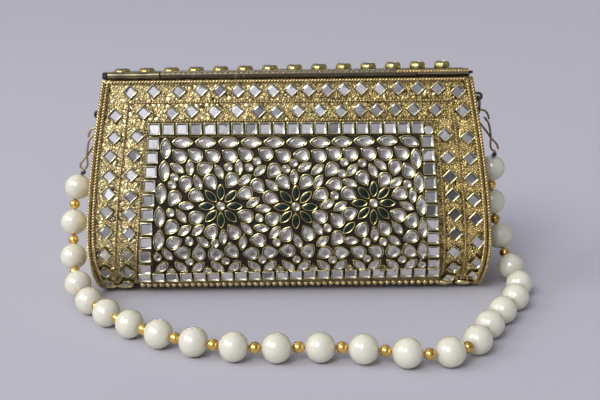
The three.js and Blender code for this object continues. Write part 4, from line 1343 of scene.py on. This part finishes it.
makeKnuckles()
makeHingeStrip()
makeHingeRope()
makeLidCups()
print("hinge and lid settings made")


# Handle fittings: a staple lug on each end plate, a ring through it and a sprung wire hook
fittings = {
    "lugHeights": {"left": 89.6, "right": 96.8}, "lugWire": 0.7, "lugLoop": 1.7, "lugReach": 97.3,
    "plateInset": 2.7, "ringRadius": 4.4, "ringWire": 0.65, "ringDrop": 0.05, "hookWire": 0.55, "across": 0.8,
    "hook": [
        (6, 0, -3), (5.4, 0, -0.8), (3.8, 0, 1.3), (1.4, 0, 1.9), (-0.7, 0, 1.3), (-1.5, 0, -0.4),
        (-0.6, 0, -2.4), (2.4, 0.3, -6.2), (6.2, 1, -11), (7.7, 1, -13.1), (10.8, 0.7, -16.6),
        (11.3, 0.3, -18.6), (9.7, 0, -20), (7.9, -0.4, -18.6), (7.2, -1, -16), (7.3, -1, -13.1),
        (6.7, -0.8, -8.6), (5.7, -0.4, -4.8), (3.5, 0, -1.9),
    ],
}
# Knot: a yarn wound round the string from one running length on, fuller in its middle
knot = {
    "turns": 3.5, "radius": 0.85, "swell": (0.75, 0.35), "wire": 0.42, "from": 0.1, "length": 1.7, "steps": 42,
}


def makeLug(name, side, height):
    pile = newPile()
    loop, reach = fittings["lugLoop"], fittings["lugReach"]
    plate = halfWidthAt(height - loop - fittings["lugWire"]) - fittings["plateInset"]
    legs = (plate, (plate + reach) / 2)
    arc = [(reach + loop * math.cos(a), height + loop * math.sin(a))
           for a in spread(math.pi / 2, -math.pi / 2, 8)]
    route = [(x, height + loop) for x in legs] + arc + [(x, height - loop) for x in reversed(legs)]
    addWire(pile, smoothThrough([Vector((side * x, 0, z)) for x, z in route], 5), fittings["lugWire"], 14)
    makePiece("lugWire_" + name, pile, "ring", stands=("handle_lug_" + name,), sharp=60)


def makeRing(name, side, top):
    pile, rings = newPile(), []
    middle = Vector((side * fittings["lugReach"], 0, top - fittings["ringRadius"]))
    for centre in circle(middle, yAxis, zAxis, fittings["ringRadius"], 40):
        rings.append(circle(centre, (centre - middle).normalized(), xAxis, fittings["ringWire"], 12))
    addSkin(pile, rings, joined=True)
    makePiece("linkRing_" + name, pile, "ring", stands=("jump_ring_" + name,), sharp=60)


def makeHook(name, side, low):
    pile = newPile()
    reach, across = fittings["lugReach"], fittings["across"]
    route = [Vector((side * (reach + x), y * across, low + z)) for x, y, z in fittings["hook"]]
    addWire(pile, smoothThrough(route, 6), fittings["hookWire"], 10)
    makePiece("sprungHook_" + name, pile, "wire", stands=("wire_hook_" + name,), sharp=60)


def makeKnot(name, side):
    pile, line = newPile(), []
    for share in spread(0, 1, knot["steps"]):
        at = knot["from"] + knot["length"] * share
        at = at if side < 0 else stringLengths[-1] / mm - at
        a = 2 * math.pi * knot["turns"] * share
        least, swell = knot["swell"]
        reach = knot["radius"] * (least + swell * math.sin(math.pi * share))
        line.append(stringAt(at) + (xAxis * math.cos(a) + yAxis * math.sin(a)) * reach)
    addWire(pile, line, knot["wire"], 8, zAxis)
    makePiece("stringKnot_" + name, pile, "knot", sharp=60)


def makeFittings():
    for name, side in (("left", -1), ("right", 1)):
        height = fittings["lugHeights"][name]
        top = height - fittings["ringDrop"]
        makeLug(name, side, height)
        makeRing(name, side, top)
        makeHook(name, side, top - 2 * fittings["ringRadius"])
        makeKnot(name, side)


# Velvet lining: one strip down the front, across the floor and up the back, a piece at each end, one in the lid
lining = {
    "outer": -1.6, "inner": -2.5, "middle": -2, "topDrop": 2.4, "sideInset": 4.7, "stations": 120,
    "endThickness": 0.9, "endGap": 0.1, "endStations": 57,
    "lidHalfLength": 87.4, "lidHalfDepth": 7.1, "lidLow": 107.85, "lidHigh": 108.55,
}


# Length of the flat cut: the fold's area over the lining's greatest width
def flatLength(stations, halfWidth):
    area = 0.0
    for a, b in zip(stations, stations[1:]):
        step = onBody(0, b, lining["middle"])[0] - onBody(0, a, lining["middle"])[0]
        area += (halfWidth(a) + halfWidth(b)) * step.length
    return area / (2 * max(halfWidth(s) for s in stations))


def makeLining():
    stations = spread(lining["topDrop"], bodyLengths[-1] - lining["topDrop"], lining["stations"])

    def halfWidth(length):
        return halfWidthAt(bodyAt(length)[0].z) - lining["sideInset"]

    main, ends = newPile(), newPile()
    addStrip(main, stations, lambda s: -halfWidth(s), halfWidth, lining["inner"], lining["outer"])
    velvetMain = makePiece("velvetLining", main, "velvet", stands=("lining",), sharp=50)
    for side in (-1, 1):
        rings = []
        for length in stations[:lining["endStations"]]:
            point = onBody(0, length, lining["inner"] - lining["endGap"])[0]
            outer = halfWidthAt(point.z) - lining["sideInset"]
            inner = outer - lining["endThickness"]
            corners = ((outer, point.y), (outer, -point.y), (inner, -point.y), (inner, point.y))
            rings.append([Vector((side * x, y, point.z)) for x, y in corners])
        addSkin(ends, rings)
    velvetEnds = makePiece("velvetEnds", ends, "velvet", sharp=50)
    flat = (2 * max(halfWidth(s) for s in stations) * mm, flatLength(stations, halfWidth) * mm)


def makeLidLining():
    pile = newPile()
    x, y, low, high = (lining[key] for key in ("lidHalfLength", "lidHalfDepth", "lidLow", "lidHigh"))
    steps = ((0.25, low), (0, low + 0.2), (0, high - 0.2), (0.25, high))
    corners = ((-1, -1), (1, -1), (1, 1), (-1, 1))
    addSkin(pile, [[Vector((a * (x - inset), b * (y - inset), z)) for a, b in corners] for inset, z in steps])
    velvetLid = makePiece("velvetLid", pile, "velvet", "lid", ("lid_lining",), 50)


# Pearls and gold spacer beads along the string
pearls = {
    "count": 24, "lead": 9.0,
    "shell": {"diameter": 13.5, "bore": 1.5, "sides": 40, "rings": 22, "uneven": 0.012},
    "bead": {"diameter": 5.4, "bore": 1.1, "sides": 24, "rings": 12, "uneven": 0.0},
}


# A drilled ball on the string, a little out of round, with the bore's two rings drawn in
def addBall(pile, at, form):
    half, boreReach = form["diameter"] / 2, 0.9
    before, after = stringAt(at - half), stringAt(at + half)
    axis = (after - before).normalized()
    side = axis.orthogonal().normalized()
    other = axis.cross(side)
    centre = (before + after) / 4 + stringAt(at) / 2
    pole = math.asin(form["bore"] / form["diameter"])
    phase = chance.uniform(0, 6.28)
    skin = []
    for a in spread(pole, math.pi - pole, form["rings"]):
        ring = []
        for b in turns(form["sides"]):
            radius = half * (1 - form["uneven"] * (0.5 + 0.5 * math.sin(2 * b + phase + 1.5 * a)))
            out = (side * math.cos(b) + other * math.sin(b)) * math.sin(a) - axis * math.cos(a)
            ring.append(centre + out * radius)
        skin.append(ring)
    for way in (1, -1):
        middle = centre + axis * way * math.cos(pole) * half * boreReach
        skin.append(circle(middle, side, other, form["bore"] / 2 * boreReach, form["sides"]))
    addSkin(pile, skin, joined=True)


def makePearls():
    shells, beads = newPile(), newPile()
    total = stringLengths[-1] / mm
    pitch = (total - 2 * pearls["lead"]) / (pearls["count"] - 1)
    for i in range(pearls["count"]):
        at = pearls["lead"] + i * pitch
        addBall(shells, at, pearls["shell"])
        if i < pearls["count"] - 1:
            addBall(beads, at + pitch / 2, pearls["bead"])
    names = [f"pearl_{i + 1:02d}" for i in range(pearls["count"])]
    shell = makePiece("pearls", shells, "pearl", stands=names, sharp=60)
    bead = makePiece("spacerBeads", beads, "bead", sharp=60)
    thread.data.materials.append(finish["thread"])
    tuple(stringRoute[0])
    print("pearl string", round(stringLengths[-1], 4), "m")


makePearls()
makeFittings()
makeLining()
makeLidLining()
print("pearls, fittings and lining made")


# CAD nodes that keep their shape
kept = {
    "sheet": ("end_plate_left", "end_plate_right"),
    "hinge": ("catch_tongue", "catch_stud"),
    "enamel": ("hinge_pin",),
    "lidBrass": ("lid",),
    "bezel": ("foot_setting_front_left", "foot_setting_front_right", "foot_setting_back_left",
              "foot_setting_back_right"),
}


def finishKept():
    for name, members in kept.items():
        for node in members:
            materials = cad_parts[node].data.materials
            materials.clear()
            materials.append(finish[name])


finishKept()


# Floor, lamps and surroundings. The sky's level is set by how far up and how far right a direction points.
studio = {
    "floorColour": (0.495, 0.487, 0.535), "floorSize": 6.0,
    "keyStrength": 1.55, "keySide": -30.0, "keyHeight": 40.0, "keySpread": 26.0, "keyDistance": 3,
    "fillPower": 9.0, "fillPlace": (-1.5, -0.5, 1.1), "fillAim": (0, -0.01, 0.05), "fillSize": 0.9,
    "worldStrength": 0.56, "skyTint": (0.97, 0.96, 1.04),
    "skyUp": (-0.2, 0.9, 0.55, 1.0), "skySide": (-0.35, 0.45, 1.25, 0.6),
    "windowSide": (-0.42, -0.78, 0.46), "window": (0.8, 0.96, 0.0, 0.85),
}


def addLamp(name, kind, place, along, track, **settings):
    data = bpy.data.lights.new(name, kind)
    for key, value in settings.items():
        setattr(data, key, value)
    lamp = addObject(name, data)
    lamp.location = place
    lamp.rotation_mode = "QUATERNION"
    lamp.rotation_quaternion = along.to_track_quat(track, "Y")


def makeLamps():
    side, high = math.radians(studio["keySide"]), math.radians(studio["keyHeight"])
    towards = Vector((math.sin(side) * math.cos(high), -math.cos(side) * math.cos(high), math.sin(high)))
    addLamp("keyLight", "SUN", towards * studio["keyDistance"], towards, "Z",
            energy=studio["keyStrength"], angle=math.radians(studio["keySpread"]))
    place = Vector(studio["fillPlace"])
    addLamp("sideSoftbox", "AREA", place, Vector(studio["fillAim"]) - place, "-Z",
            shape="SQUARE", size=studio["fillSize"], energy=studio["fillPower"])


def makeFloor():
    mesh = bpy.data.meshes.new("floor")
    half = studio["floorSize"]
    corners = [(-half, -half, 0), (half, -half, 0), (half, half, 0), (-half, half, 0)]
    mesh.from_pydata(corners, [], [(0, 1, 2, 3)])
    material, tree, surface = makeTree("paleFloor")
    colour = (*studio["floorColour"], 1)
    setSockets(surface, {"Base Color": colour, "Roughness": 0.8, "Specular IOR Level": 0.1})
    mesh.materials.append(material)
    addObject("floor", mesh)


def makeWorld():
    world = bpy.data.worlds.new("studio")
    bpy.context.scene.world = world
    world.use_nodes = True
    tree = world.node_tree
    tree.nodes.clear()
    direction = tree.nodes.new("ShaderNodeTexCoord").outputs["Generated"]
    up = addRange(tree, addAxis(tree, direction, "Z"), *studio["skyUp"])
    side = addRange(tree, addAxis(tree, direction, "X"), *studio["skySide"])
    facing = addNode(tree, "ShaderNodeVectorMath", {"operation": "DOT_PRODUCT"},
                     (direction, studio["windowSide"]))
    window = addRange(tree, facing.outputs["Value"], *studio["window"])
    level = addMath(tree, "ADD", addMath(tree, "MULTIPLY", up, side), window)
    tint = addVector(tree, "SCALE", studio["skyTint"], Scale=level)
    background = addNode(tree, "ShaderNodeBackground", Color=tint, Strength=studio["worldStrength"])
    addNode(tree, "ShaderNodeOutputWorld", Surface=background.outputs[0])


makeFloor()
makeWorld()
makeLamps()
bpy.context.scene.view_settings.view_transform = "Standard"
print("floor and lamps placed")
